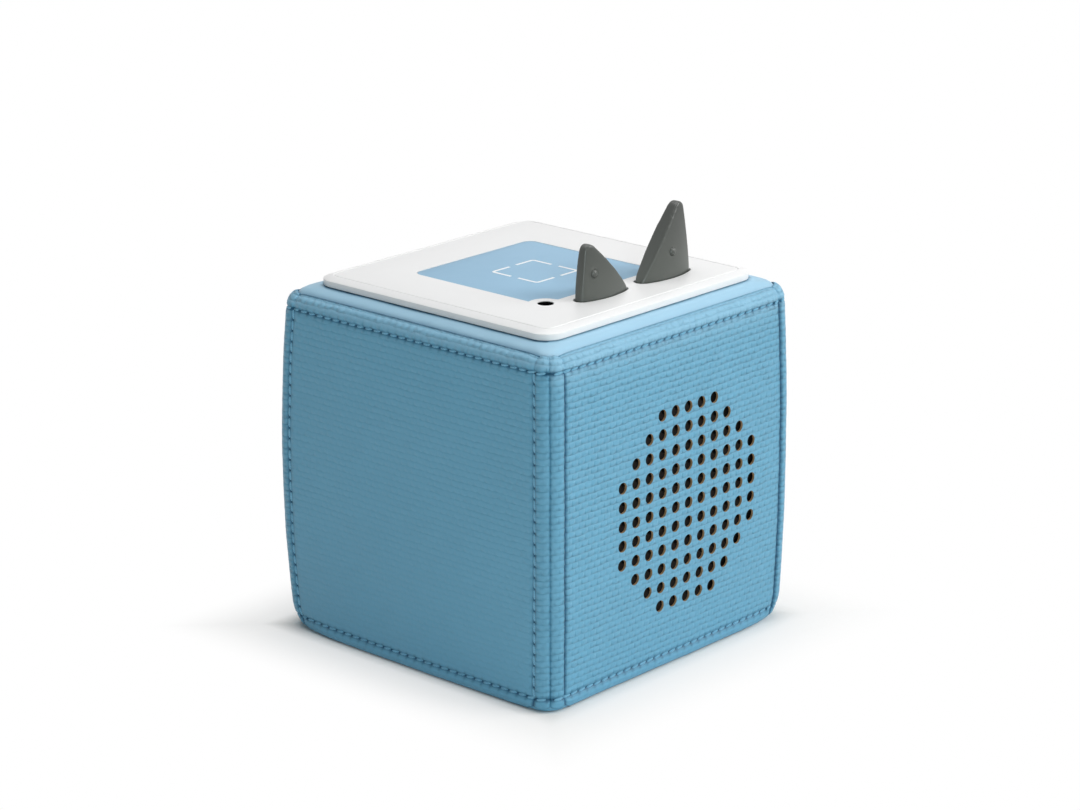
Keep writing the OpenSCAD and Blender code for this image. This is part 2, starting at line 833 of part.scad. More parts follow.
// Depths inside the hollow, counted from the ear's centre line
core_y0 = -hollow_front + core_gap;
core_y1 = core_y0 + core_t;
strip_y1 = core_y1 + strip_t;
switch_y0 = core_y1 - switch_t;
plunger_y1 = switch_y0 - 0.05;

module ear_core(w, nub_in) {
    x = nub_in - w / 2;
    top = plate_top + nub_z + hollow_over - core_gap;
    side = hollow_w / 2 - core_gap;
    difference() {
        union() {
            block([x - side, core_y0, deck_top], [x + side, core_y1, top]);
            block([x - foot_w / 2, core_y0 - 2, deck_top], [x + foot_w / 2, core_y1, deck_top + foot_h]);
        }
        y_rod(x, plate_top + nub_z, core_y0 - 1, switch_y0, nub_d / 2 + collar_w + nub_gap);
        block([x - switch_w / 2, core_y0, plate_top + nub_z - switch_w / 2],
              [x + switch_w / 2, core_y1 + 1, plate_top + nub_z + switch_w / 2]);
        z_rod(x, core_y0, deck_top - 1, deck_top + ear_screw_bite, ear_screw_d / 2);
    }
}

module ear_board(w, nub_in) {
    x = nub_in - w / 2;
    side = hollow_w / 2 - core_gap;
    block([x - side, core_y1, deck_top], [x + side, strip_y1, plate_top + nub_z + hollow_over - core_gap]);
}

module ear_switch(w, nub_in) {
    x = nub_in - w / 2;
    side = switch_w / 2 - 0.05;
    difference() {
        block([x - side, switch_y0, plate_top + nub_z - side],
              [x + side, core_y1, plate_top + nub_z + side]);
        y_rod(x, plate_top + nub_z, switch_y0 - 1, core_y1 + 1, plunger_r + 0.25);
    }
}

// The nub, its collar behind the skin and the stem that presses the switch
module ear_button(w, front, h, nub_in) {
    x = nub_in - w / 2;
    a = w / 2 - ear_end_r;
    big = bow_r(a, ear_end_r, front);
    face = thinned(big - front - sqrt(big * big - x * x), nub_z, h);
    dome_r = (pow(nub_d / 2, 2) + nub_proud * nub_proud) / (2 * nub_proud);
    collar_y0 = core_y0 + 0.05;
    translate([x, 0, plate_top + nub_z]) {
        intersection() {
            translate([0, face - nub_proud + dome_r, 0]) sphere(r = dome_r);
            rotate([90, 0, 0]) cylinder(d = nub_d, h = 2 * front + 2 * nub_proud);
            block([-far, -far, -far], [far, face, far]);
        }
        y_rod(0, 0, face - eps, collar_y0 + eps, nub_d / 2);
        y_rod(0, 0, collar_y0, collar_y0 + collar_t, nub_d / 2 + collar_w);
        y_rod(0, 0, collar_y0 + collar_t - eps, plunger_y1, plunger_r);
    }
}

plunger_r = 0.7;

module small_ear() {
    color("#62665f") small_ear_place(0)
        ear_skin(small_ear_w, small_ear_front, small_ear_h, small_ear_tip_in, small_nub_in);
}

module small_ear_core() {
    color("#3a3d3c") small_ear_place(0) ear_core(small_ear_w, small_nub_in);
}

module small_ear_board() {
    color("#2f6b3a") small_ear_place(0) ear_board(small_ear_w, small_nub_in);
}

module small_ear_switch() {
    color("silver") small_ear_place(0) ear_switch(small_ear_w, small_nub_in);
}

module small_ear_button() {
    color("#6c706a") small_ear_place(0)
        ear_button(small_ear_w, small_ear_front, small_ear_h, small_nub_in);
}

// The large ear is the same part turned to face the other way
module large_ear() {
    color("#62665f") large_ear_place(0) mirror([1, 0, 0])
        ear_skin(large_ear_w, large_ear_front, large_ear_h, large_ear_tip_in, large_nub_in);
}

module large_ear_core() {
    color("#3a3d3c") large_ear_place(0) mirror([1, 0, 0]) ear_core(large_ear_w, large_nub_in);
}

module large_ear_board() {
    color("#2f6b3a") large_ear_place(0) mirror([1, 0, 0]) ear_board(large_ear_w, large_nub_in);
}

module large_ear_switch() {
    color("silver") large_ear_place(0) mirror([1, 0, 0]) ear_switch(large_ear_w, large_nub_in);
}

module large_ear_button() {
    color("#6c706a") large_ear_place(0) mirror([1, 0, 0])
        ear_button(large_ear_w, large_ear_front, large_ear_h, large_nub_in);
}

// Where the two nubs, and so the ears' cores and screws, stand
small_nub_x = -small_ear_x - small_ear_w / 2 + small_nub_in;
large_nub_x = large_ear_x + large_ear_w / 2 - large_nub_in;

module ear_screws() {
    color("silver") for (x = [small_nub_x, large_nub_x]) translate([x, core_y0 - ear_y, case_top])
        screw(ear_screw_d, ear_head_d, ear_head_h, deck_t + ear_screw_bite);
}

// --------------------------------------------------- deck, magnet, antenna

antenna_z0 = deck_top + antenna_stand;
antenna_peg_at = [[-26, 26], [26, 26], [-26, -14], [26, -14]];
cup_r = holder_magnet_d / 2 + 0.1 + cup_wall;
antenna_wire = [20, 18];
ear_wire_y = -25;

module figure_magnet() {
    color("#8a8d90") z_rod(0, pad_y, deck_top, deck_top + holder_magnet_t, holder_magnet_d / 2);
}

module antenna_board() {
    peg_hole_r = 1.2;
    color("#2f6b3a") difference() {
        block([-antenna_w / 2, -antenna_front, antenna_z0],
              [antenna_w / 2, antenna_w / 2, antenna_z0 + antenna_t]);
        z_rod(0, pad_y, 0, far, cup_r + 0.3);
        for (p = antenna_peg_at) z_rod(p[0], p[1], 0, far, peg_hole_r);
    }
}

module case_deck() {
    cup_top = deck_top + holder_magnet_t - 0.4;
    color("#d9d9d6") difference() {
        union() {
            slab(lining_half - deck_gap, lining_corner_r, case_top, deck_top);
            z_rod(0, pad_y, deck_top, cup_top, cup_r);
            for (p = antenna_peg_at) {
                z_rod(p[0], p[1], deck_top, antenna_z0, 2.5);
                z_rod(p[0], p[1], deck_top, antenna_z0 + antenna_t, 1);
                z_rod(p[0], p[1], antenna_z0 + antenna_t, antenna_z0 + antenna_t + 0.6, 1.8);
            }
        }
        z_rod(0, pad_y, deck_top, far, holder_magnet_d / 2 + 0.1);
        z_rod(antenna_wire[0], antenna_wire[1], 0, far, 3);
        for (x = [small_nub_x, large_nub_x]) {
            z_rod(x, ear_wire_y, 0, far, 2);
            z_rod(x, core_y0 - ear_y, 0, far, ear_screw_d / 2 + screw_gap);
        }
        for (c = corners) {
            z_rod(c[0] * boss_at, c[1] * boss_at, 0, far, screw_d / 2 + screw_gap);
            z_rod(c[0] * boss_at, c[1] * boss_at,
                  deck_top - screw_head_h, far, screw_head_d / 2 + screw_gap);
            z_rod(c[0] * plate_boss_at, c[1] * plate_boss_at, 0, far, screw_d / 2 + screw_gap);
        }
    }
}

// -------------------------------------------------------------- inner case

speaker_screw_r = 37.2;
speaker_boss_r = 1.9;
board_y1 = case_inner - board_stand;
board_y0 = board_y1 - board_t;
board_screw_in = 4;

// Puts a copy on each of the speaker's four screw places
module at_speaker_screws() {
    for (turn = [45:90:315])
        translate([speaker_x + speaker_screw_r * cos(turn), 0, speaker_z + speaker_screw_r * sin(turn)])
            children();
}

// Puts a copy on each of the main board's four screw places
module at_board_screws() {
    for (side = [-1, 1]) for (z = [board_z0 + board_screw_in, board_z0 + board_h - board_screw_in])
        translate([side * (board_w / 2 - board_screw_in), 0, z]) children();
}

module case_tub() {
    color("#2b2d2f") difference() {
        union() {
            ring_slab(case_half, case_corner_r, case_inner, case_corner_r - case_wall, case_z0, case_top);
            slab(case_half, case_corner_r, case_z0, floor_top);
            intersection() {
                for (c = boss_at * corners) z_rod(c[0], c[1], case_top - boss_len, case_top, boss_r + eps);
                slab(case_half - eps, case_corner_r, 0, far);
            }
            for (c = corners) block_to_corner(c);
            at_speaker_screws() y_rod(0, 0, -case_inner - eps, -case_inner + gasket_t, speaker_boss_r);
            at_board_screws() y_rod(0, 0, board_y1, case_inner + eps, 3);
        }
        for (c = boss_at * corners) z_rod(c[0], c[1], case_top - screw_len, case_top + 1, screw_d / 2);
        y_rod(speaker_x, speaker_z, -half, 0, speaker_open_r);
        at_speaker_screws() y_rod(0, 0, -case_half + 0.6, 0, small_screw_d / 2);
        at_board_screws() y_rod(0, 0, board_y1 - 1, board_y1 + board_stand, small_screw_d / 2);
        y_rod(-jack_x, jack_z, 0, half, jack_barrel_d / 2 + jack_gap);
        z_rod(0, 0, 0, far / 4, dock_d / 2 + dock_wall + 0.4);
        for (turn = [0:90:270]) rotate([0, 0, turn])
            z_rod(base_screw_at, 0, case_z0 - 1, floor_top + 1, screw_d / 2);
        for (side = [-1, 1])
            z_rod(strap_x, side * strap_screw_y, case_z0 + 0.5, floor_top + 1, screw_d / 2);
    }
}

// Fills the corner of the case behind a screw boss
module block_to_corner(c) {
    low = [min(c[0] * boss_at, c[0] * case_inner), min(c[1] * boss_at, c[1] * case_inner),
           case_top - boss_len];
    high = [max(c[0] * boss_at, c[0] * case_inner), max(c[1] * boss_at, c[1] * case_inner), case_top];
    intersection() {
        block(low, high);
        slab(case_half - eps, case_corner_r, 0, far);
    }
}

// --------------------------------------------------------------------- base

dock_roof = base_lift + dock_depth;
dock_top = dock_roof + dock_wall;

module base_plate() {
    color("#4a4d4f") difference() {
        union() {
            slab(under_open_w / 2 - base_gap, plate_corner_r - base_gap, base_lift, under_top);
            slab(under_open_w / 2 + base_rim_w, plate_corner_r, under_top, case_z0);
            z_rod(0, 0, case_z0 - 1, dock_top, dock_d / 2 + dock_wall);
        }
        z_rod(0, 0, 0, dock_roof, dock_d / 2);
        for (x = [-1:1]) z_rod(x * contact_pitch, 0, 0, far, contact_d / 2 + 0.05);
        for (c = corners) z_rod(c[0] * foot_at, c[1] * foot_at, 0, foot_t, foot_d / 2 + 0.1);
        for (turn = [0:90:270]) rotate([0, 0, turn]) {
            z_rod(base_screw_at, 0, 0, far, screw_d / 2 + screw_gap);
            z_rod(base_screw_at, 0, 0, base_lift + screw_head_h, screw_head_d / 2 + screw_gap);
        }
    }
}

module rubber_feet() {
    color("#33353a") for (c = corners) z_rod(c[0] * foot_at, c[1] * foot_at, 0, foot_t, foot_d / 2);
}

module charge_contacts() {
    color("#d2a94a") for (x = [-1:1])
        z_rod(x * contact_pitch, 0, dock_roof - contact_proud, dock_top, contact_d / 2);
}

module charge_board() {
    board_top = dock_top + charge_board_t;
    plug_x = charge_route[0][0];
    plug_y1 = charge_route[0][1];
    color("#2f6b3a") {
        z_rod(0, 0, dock_top, board_top, dock_d / 2 - 2);
        block([plug_x - charge_plug_w / 2, plug_y1 - charge_plug_w, board_top - eps],
              [plug_x + charge_plug_w / 2, plug_y1, board_top + charge_plug_h]);
    }
}

// ------------------------------------------------------------- loudspeaker

flange_y0 = -case_inner + gasket_t;
flange_y1 = flange_y0 + speaker_flange_t;
rear_y = flange_y1 + basket_depth;
washer_y1 = rear_y + steel_t;
magnet_y1 = washer_y1 + magnet_t;
roll_out = speaker_open_r - 1;
roll_mid = roll_out - roll_w / 2;
cone_out = roll_out - roll_w - roll_gap;
cone_y0 = flange_y0 + 1.2;
neck_y = cone_y0 + cone_depth;
coil_out = coil_r + coil_t;

// Turns a profile drawn as [radius, depth] about the speaker's axis
module speaker_round() {
    translate([speaker_x, 0, speaker_z]) rotate([-90, 0, 0]) rotate_extrude() children();
}

module speaker_gasket() {
    color("#1c1c1c") difference() {
        y_rod(speaker_x, speaker_z, -case_inner, flange_y0, speaker_open_r + gasket_w);
        y_rod(speaker_x, speaker_z, -case_inner - 1, flange_y0 + 1, speaker_open_r);
    }
}

module speaker_frame() {
    plate_y = rear_y - basket_wall;
    hole_r = coil_out + coil_gap + 2;
    color("#3b3e42") difference() {
        union() {
            speaker_round() polygon([
                [roll_out, flange_y0], [speaker_flange_r, flange_y0], [speaker_flange_r, flange_y1],
                [basket_mouth_r, flange_y1], [basket_rear_r, rear_y], [hole_r, rear_y],
                [hole_r, plate_y], [basket_rear_r - basket_wall, plate_y],
                [basket_mouth_r - basket_wall, flange_y1 + eps], [roll_out, flange_y1]
            ]);
            block([speaker_x - 4, flange_y1 - eps, speaker_z + basket_mouth_r + 1],
                  [speaker_x + 4, flange_y1 + 4, speaker_z + speaker_flange_r - 0.6]);
        }
        at_speaker_screws() y_rod(0, 0, flange_y0 - 1, flange_y1 + 1, small_screw_d / 2 + screw_gap);
    }
}

module speaker_surround() {
    roll_r = roll_w / 2;
    base = flange_y0 + roll_r;
    color("#141414") speaker_round() intersection() {
        difference() {
            translate([roll_mid, base]) circle(r = roll_r);
            translate([roll_mid, base]) circle(r = roll_r - 0.6);
        }
        translate([roll_mid - roll_r, base - 2 * roll_r]) square([2 * roll_r, 2 * roll_r]);
    }
}

module speaker_spider() {
    seat = rear_y - basket_wall;
    inner = coil_out + roll_gap;
    outer = basket_rear_r - basket_wall;
    rim = 2;
    steps = 6;
    wave = 0.9;
    thick = 0.5;
    width = (outer - rim - inner) / steps;
    front = [for (i = [0:steps]) [inner + i * width, seat - thick - (i % 2) * wave]];
    rear = [for (i = [steps:-1:0]) [inner + i * width, seat - (i % 2) * wave]];
    color("#b98a3c") speaker_round()
        polygon(concat(front, [[outer, seat - thick], [outer, seat]], rear));
}

module speaker_cone() {
    color("#202022") speaker_round() polygon([
        [cone_out, cone_y0], [cone_out, cone_y0 + cone_t], [cone_out - 1, cone_y0 + cone_t],
        [coil_out, neck_y + cone_t], [coil_out, neck_y], [cone_out - 1.4, cone_y0]
    ]);
}

// A thin dome over the neck of the cone
module speaker_dust_cap() {
    rise = 3;
    ball = (coil_out * coil_out + rise * rise) / (2 * rise);
    color("#18181a") speaker_round() translate([0, neck_y - rise]) intersection() {
        difference() {
            translate([0, ball]) circle(r = ball);
            translate([0, ball]) circle(r = ball - 0.6);
        }
        square([coil_out, rise]);
    }
}

module speaker_voice_coil() {
    color("#b5652a") difference() {
        y_rod(speaker_x, speaker_z, neck_y, neck_y + coil_len, coil_out);
        y_rod(speaker_x, speaker_z, neck_y - 1, neck_y + coil_len + 1, coil_r);
    }
}

module speaker_washer() {
    color("#9a9da0") difference() {
        y_rod(speaker_x, speaker_z, rear_y, washer_y1, magnet_r - 2);
        y_rod(speaker_x, speaker_z, rear_y - 1, washer_y1 + 1, coil_out + coil_gap);
    }
}

module speaker_magnet() {
    color("#4b4b4d") difference() {
        y_rod(speaker_x, speaker_z, washer_y1, magnet_y1, magnet_r);
        y_rod(speaker_x, speaker_z, washer_y1 - 1, magnet_y1 + 1, coil_out + coil_gap + 1);
    }
}

module speaker_pole() {
    color("#9a9da0") {
        y_rod(speaker_x, speaker_z, rear_y, magnet_y1 + eps, pole_r);
        y_rod(speaker_x, speaker_z, magnet_y1, magnet_y1 + steel_t, magnet_r - 2);
    }
}

// -------------------------------------------------------------- electronics

socket_y = board_y0 - socket_d;

// A component on the front of the main board, w wide, h high and d deep
module on_board(x, z, w, h, d) {
    block([x - w / 2, board_y0 - d, z - h / 2], [x + w / 2, board_y0, z + h / 2]);
}

module main_board() {
    color("#2f6b3a") difference() {
        block([-board_w / 2, board_y0, board_z0], [board_w / 2, board_y1, board_z0 + board_h]);
        at_board_screws() y_rod(0, 0, board_y0 - 1, board_y1 + 1, small_screw_d / 2 + screw_gap);
    }
}

// Places of the chips and the wireless module on the board
processor_left = board_w / 10;
processor_z = board_z0 + board_h * 0.6;
amplifier_left = board_w * 0.3;
amplifier_z = board_z0 + board_h * 0.39;
charger_left = board_w * 0.15;
charger_z = board_z0 + board_h * 0.86;
module_right = board_w * 0.275;
module_z = board_z0 + board_h * 0.69;

module board_chips() {
    color("#1b1b1d") {
        on_board(-processor_left, processor_z, processor_w, processor_w, chip_t);
        on_board(-amplifier_left, amplifier_z, amplifier_w, amplifier_w, chip_t);
        on_board(-charger_left, charger_z, charger_w, charger_w, chip_t);
    }
}

// Where each lead plugs in, as [x, z]
battery_plug = [-14, 18];
charge_plug = [6, 18];
speaker_plug = [6, 80];
antenna_plug = [24, 80];
ear_plug = [-26, 80];

module board_sockets() {
    color("#e9e4d4") for (p = [battery_plug, charge_plug, speaker_plug, antenna_plug, ear_plug])
        on_board(p[0], p[1], socket_w, socket_h, socket_d);
}

module wireless_module() {
    color("#c9ccce") on_board(module_right, module_z, module_w, module_h, module_t);
}

card_place = [24, 34];
card_top = card_place[1] + 5;
card_gap = 0.1;
card_y1 = board_y0 - 0.5;

module card_socket() {
    color("#b9bcbf") difference() {
        on_board(card_place[0], card_place[1], card_w + 3, card_len - 1, card_thick + 1.3);
        on_board_slot();
    }
}

// The slot for the memory card, open at its lower end
module on_board_slot() {
    block([card_place[0] - card_w / 2 - card_gap, card_y1 - card_thick - card_gap, 0],
          [card_place[0] + card_w / 2 + card_gap, card_y1 + card_gap, card_top]);
}

module memory_card() {
    color("#151515") block([card_place[0] - card_w / 2, card_y1 - card_thick, card_top - card_len],
                           [card_place[0] + card_w / 2, card_y1, card_top]);
}

module headphone_jack() {
    end_y = edge_half - jack_recess;
    color("#202225") difference() {
        union() {
            block([-jack_x - jack_body_w / 2, board_y1, jack_z - jack_body_h / 2],
                  [-jack_x + jack_body_w / 2, case_inner - 0.2, jack_z + jack_body_h / 2]);
            y_rod(-jack_x, jack_z, case_inner - 0.3, end_y, jack_barrel_d / 2);
        }
        y_rod(-jack_x, jack_z, board_y1 + jack_back_t, half + 1, jack_d / 2);
    }
}

module board_screws() {
    color("silver") {
        at_board_screws() translate([0, board_y0, 0]) rotate([-90, 0, 0])
            screw(small_screw_d, small_head_d, small_head_h, board_t + 4);
        at_speaker_screws() translate([0, flange_y1, 0]) rotate([90, 0, 0])
            screw(small_screw_d, small_head_d, small_head_h, speaker_flange_t + gasket_t + 1.2);
    }
}

// ------------------------------------------------------------------ battery

tray_floor_z = floor_top + tray_lift;
pack_z0 = tray_floor_z + tray_floor;
pack_half_h = cell_d / 2 + pack_gap + sleeve_t;
cell_z = pack_z0 + pack_half_h;
pack_top = cell_z + pack_half_h;
pack_half_y = cell_pitch + pack_half_h;
pack_half_x = cell_len / 2 + pack_gap;
tray_half_x = pack_half_x + pack_gap + tray_wall;
tray_half_y = pack_half_y + pack_gap + tray_wall;
strap_x = -8;
strap_half_y = tray_half_y + pack_gap + strap_t;
strap_foot = 6;
strap_screw_y = strap_half_y + strap_foot / 2;

// The pack's cross-section: three circles in a row and what joins them
module pack_section(r) {
    for (i = [-1:1]) translate([i * cell_pitch, 0]) circle(r = r);
    square([2 * cell_pitch, 2 * r], center = true);
}

// Lays a section drawn on Y and Z along X, from -x to x
module along_x(x) {
    translate([-x, 0, cell_z]) rotate([90, 0, 90]) linear_extrude(2 * x) children();
}

module battery_cells() {
    color("#d8dadc") along_x(cell_len / 2)
        for (i = [-1:1]) translate([i * cell_pitch, 0]) circle(d = cell_d);
}

module battery_sleeve() {
    color("#3f6fb5") along_x(pack_half_x) difference() {
        pack_section(pack_half_h);
        pack_section(pack_half_h - sleeve_t);
    }
}

module battery_tray() {
    color("#55585b") difference() {
        block([-tray_half_x, -tray_half_y, floor_top], [tray_half_x, tray_half_y, pack_z0 + tray_h]);
        block([-tray_half_x + tray_wall, -tray_half_y + tray_wall, pack_z0],
              [tray_half_x - tray_wall, tray_half_y - tray_wall, far]);
        z_rod(0, 0, 0, tray_floor_z, dock_d / 2);
        block([3, 0, 0], [9, tray_half_y + 1, tray_floor_z]);
    }
}

module battery_strap() {
    low_x = strap_x - strap_w / 2;
    high_x = strap_x + strap_w / 2;
    color("#2e3134") difference() {
        union() {
            block([low_x, -strap_half_y, pack_top + pack_gap],
                  [high_x, strap_half_y, pack_top + pack_gap + strap_t]);
            for (side = [-1, 1]) {
                y0 = min(side * strap_half_y, side * (strap_half_y - strap_t));
                block([low_x, y0, floor_top], [high_x, y0 + strap_t, pack_top + pack_gap + eps]);
                foot_y0 = min(side * (strap_half_y - eps), side * (strap_half_y + strap_foot));
                block([low_x, foot_y0, floor_top], [high_x, foot_y0 + strap_foot + eps, floor_top + 1.5]);
            }
        }
        for (side = [-1, 1]) z_rod(strap_x, side * strap_screw_y, 0, far / 4, screw_d / 2 + screw_gap);
    }
}

// ------------------------------------------------------------ screws, leads

module case_screws() {
    color("silver") {
        for (c = corners) {
            translate([c[0] * boss_at, c[1] * boss_at, deck_top - screw_head_h]) mirror([0, 0, 1])
                screw(screw_d, screw_head_d, screw_head_h, screw_len);
            translate([c[0] * plate_boss_at, c[1] * plate_boss_at, case_top])
                screw(screw_d, screw_head_d, screw_head_h, screw_len - 1);
        }
        for (turn = [0:90:270]) rotate([0, 0, turn])
            translate([base_screw_at, 0, base_lift + screw_head_h])
                screw(screw_d, screw_head_d, screw_head_h, 4);
        for (side = [-1, 1]) translate([strap_x, side * strap_screw_y, floor_top + 1.5]) mirror([0, 0, 1])
            screw(screw_d, screw_head_d, screw_head_h, 3.4);
    }
}

// Routes of the leads inside the case, from piece to piece
speaker_route = [[5, -43.8, 93], [5, -40, 93], [5, -34, 94], [6, -20, 97], [8, -4, 98], [9, 12, 95],
                 [9, 24, 89], [7, 32, 82.5], [6, 36, 80], [6, 38.2, 80]];
battery_route = [[-19, 6, 25.8], [-19, 6, 28], [-19, 8, 31.5], [-19, 14, 34], [-18, 22, 33], [-16, 29, 27],
                 [-14.5, 33, 20.5], [-14, 36, 18], [-14, 38.2, 18]];
charge_route = [[6, 9, 8.2], [6, 12, 8.2], [6, 20, 8.2], [6, 26, 8.5], [6, 31, 11], [6, 33, 14.5],
                [6, 35.5, 17.6], [6, 38.2, 18]];
antenna_route = [[20, 18, 117], [20, 18, 114], [20, 18, 108], [20.5, 19.5, 100], [22, 26, 91],
                 [23.5, 32, 83], [24, 36, 80.2], [24, 38.2, 80]];
small_ear_route = [[-12.7, -32.4, 116], [-12.7, -30, 116], [-12.7, -27, 115.4], [-12.7, -25.2, 113],
                   [-12.7, -25, 108], [-14, -18, 101], [-18, 0, 97], [-23, 20, 92], [-27, 31, 84.5],
                   [-27.2, 36, 80.3], [-27.2, 38.2, 80]];
large_ear_route = [[24.8, -32.4, 116], [24.8, -30, 116], [24.8, -27, 115.4], [24.8, -25.2, 113],
                   [24.8, -25, 108], [22, -18, 103], [6, 0, 102], [-14, 18, 95], [-24.5, 31, 84.5],
                   [-24.8, 36, 80.3], [-24.8, 38.2, 80]];

// The direction of a route at point i
function heading(p, i) =
    let (a = i == 0 ? p[0] : p[i - 1], b = i == len(p) - 1 ? p[i] : p[i + 1])
    (b - a) / norm(b - a);

// A direction square to a heading, the same way round along the route
function across(h) =
    let (c = cross(h, abs(h[0]) > 0.9 ? [0, 1, 0] : [1, 0, 0]))
    c / norm(c);

// A round lead of radius r along the points of a route
module lead(route, r, sides = 8) {
    rings = [for (i = [0:len(route) - 1])
        let (h = heading(route, i), u = across(h), v = cross(h, u))
        [for (k = [0:sides - 1]) route[i] + r * (cos(360 * k / sides) * u + sin(360 * k / sides) * v)]];
    points = [for (ring = rings) for (p = ring) p];
    last = (len(route) - 1) * sides;
    walls = [for (i = [0:len(route) - 2]) for (k = [0:sides - 1])
        let (a = i * sides + k, b = i * sides + (k + 1) % sides)
        each [[a, a + sides, b], [b, a + sides, b + sides]]];
    near_end = [for (k = [1:sides - 2]) [0, k, k + 1]];
    far_end = [for (k = [1:sides - 2]) [last, last + k + 1, last + k]];
    polyhedron(points, concat(walls, near_end, far_end));
}

module speaker_lead() {
    color("#b02a2a") lead(speaker_route, lead_r);
}

module battery_lead() {
    color("#b02a2a") lead(battery_route, lead_r);
}

module charge_lead() {
    color("#30343a") lead(charge_route, lead_r * 0.75);
}

module antenna_lead() {
    color("#30343a") lead(antenna_route, lead_r);
}

module ear_leads() {
    color("#d9d3c0") {
        lead(small_ear_route, fine_lead_r);
        lead(large_ear_route, fine_lead_r);
    }
}

// ----------------------------------------------------------------- assembly

front_panel();
rear_panel();
left_panel();
right_panel();
top_border();
underside_border();
foam_liner();
top_plate();
placement_pad();
placement_marker();
light_lens();
status_light();
small_ear();
small_ear_core();
small_ear_board();
small_ear_switch();
small_ear_button();
large_ear();
large_ear_core();
large_ear_board();
large_ear_switch();
large_ear_button();
antenna_board();
figure_magnet();
case_deck();
case_tub();
base_plate();
rubber_feet();
charge_board();
charge_contacts();
speaker_gasket();
speaker_frame();
speaker_surround();
speaker_spider();
speaker_cone();
speaker_dust_cap();
speaker_voice_coil();
speaker_washer();
speaker_magnet();
speaker_pole();
main_board();
board_chips();
board_sockets();
wireless_module();
card_socket();
memory_card();
headphone_jack();
battery_cells();
battery_sleeve();
battery_tray();
battery_strap();
speaker_lead();
battery_lead();
charge_lead();
antenna_lead();
ear_leads();
case_screws();
board_screws();
ear_screws();
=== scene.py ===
"""Dresses the audio story player: padded cover, seams and stitches, top plate, ears and inner parts."""

import json
import math

import bmesh
import bpy
from mathutils import Matrix, Vector, geometry, noise


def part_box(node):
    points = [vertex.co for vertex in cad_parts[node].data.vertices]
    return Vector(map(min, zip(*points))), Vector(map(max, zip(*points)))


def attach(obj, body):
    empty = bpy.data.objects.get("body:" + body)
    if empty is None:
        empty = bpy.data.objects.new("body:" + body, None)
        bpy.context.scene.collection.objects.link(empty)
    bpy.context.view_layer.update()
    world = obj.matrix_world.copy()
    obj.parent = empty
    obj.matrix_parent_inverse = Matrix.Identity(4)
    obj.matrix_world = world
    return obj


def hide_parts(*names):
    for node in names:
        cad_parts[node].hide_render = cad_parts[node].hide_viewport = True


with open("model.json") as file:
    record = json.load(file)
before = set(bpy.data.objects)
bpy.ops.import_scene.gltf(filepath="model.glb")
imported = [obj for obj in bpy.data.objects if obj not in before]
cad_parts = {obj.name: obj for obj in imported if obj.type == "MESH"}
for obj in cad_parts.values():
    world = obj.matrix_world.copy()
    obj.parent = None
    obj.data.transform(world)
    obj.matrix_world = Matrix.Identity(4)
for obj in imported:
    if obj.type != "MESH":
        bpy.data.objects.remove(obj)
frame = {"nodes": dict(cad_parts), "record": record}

bl_info = {
    "name": "Audio Story Player",
    "version": (1, 0, 0),
    "blender": (4, 5, 0),
    "location": "3D View > Sidebar > Story Player",
    "description": "Padded fabric cube with a top plate, two ear controls and a loudspeaker",
    "category": "Object",
}

MM = 0.001
ROOT = "player"
SIDES = ("front", "right", "rear", "left")
PLATE_LOW, PLATE_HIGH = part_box("top_plate")
PAD_LOW, PAD_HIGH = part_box("placement_pad")
COVER_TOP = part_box("front_panel")[1][2]
NODES = frame["nodes"]

UV_SPAN = 0.1  # metres of cloth to one unit of its UV map
CELL = (0.00286, 0.00210)  # width and height of one pillow of the weave
TUCK = 0.0012  # how far the cloth runs on past its lower and upper seams
LIFT = 0.0001  # height of the cloth over the floor
HOLE_PITCH, HOLE_RADIUS = 0.0065, 0.00195
FIELD_MIDDLE, FIELD_REACH = Vector((0.005, 0.055)), 0.0352  # the speaker holes' field, as x and z
STITCH = (0.00160, 0.00056, 0.00046)  # half the length, width and height of a stitch


# ------------------------------------------------------------------ settings


def length(name, words, value, **more):
    """A size in metres that a user would change."""
    return bpy.props.FloatProperty(name=name, description=words, default=value, subtype="DISTANCE",
                                   unit="LENGTH", precision=5, **more)


def tint(name, words, value):
    """A colour, given as an sRGB hex value."""
    return bpy.props.FloatVectorProperty(name=name, description=words, default=linear(value), size=4,
                                         subtype="COLOR", min=0, max=1)


def power(name, words, value):
    """The power of a lamp, in watts."""
    return bpy.props.FloatProperty(name=name, description=words, default=value, unit="POWER")


def linear(hex_value):
    """Turns an sRGB hex value into a linear colour with alpha."""
    parts = [int(hex_value[i:i + 2], 16) / 255 for i in (1, 3, 5)]
    return tuple(p / 12.92 if p <= 0.04045 else ((p + 0.055) / 1.055) ** 2.4 for p in parts) + (1.0,)


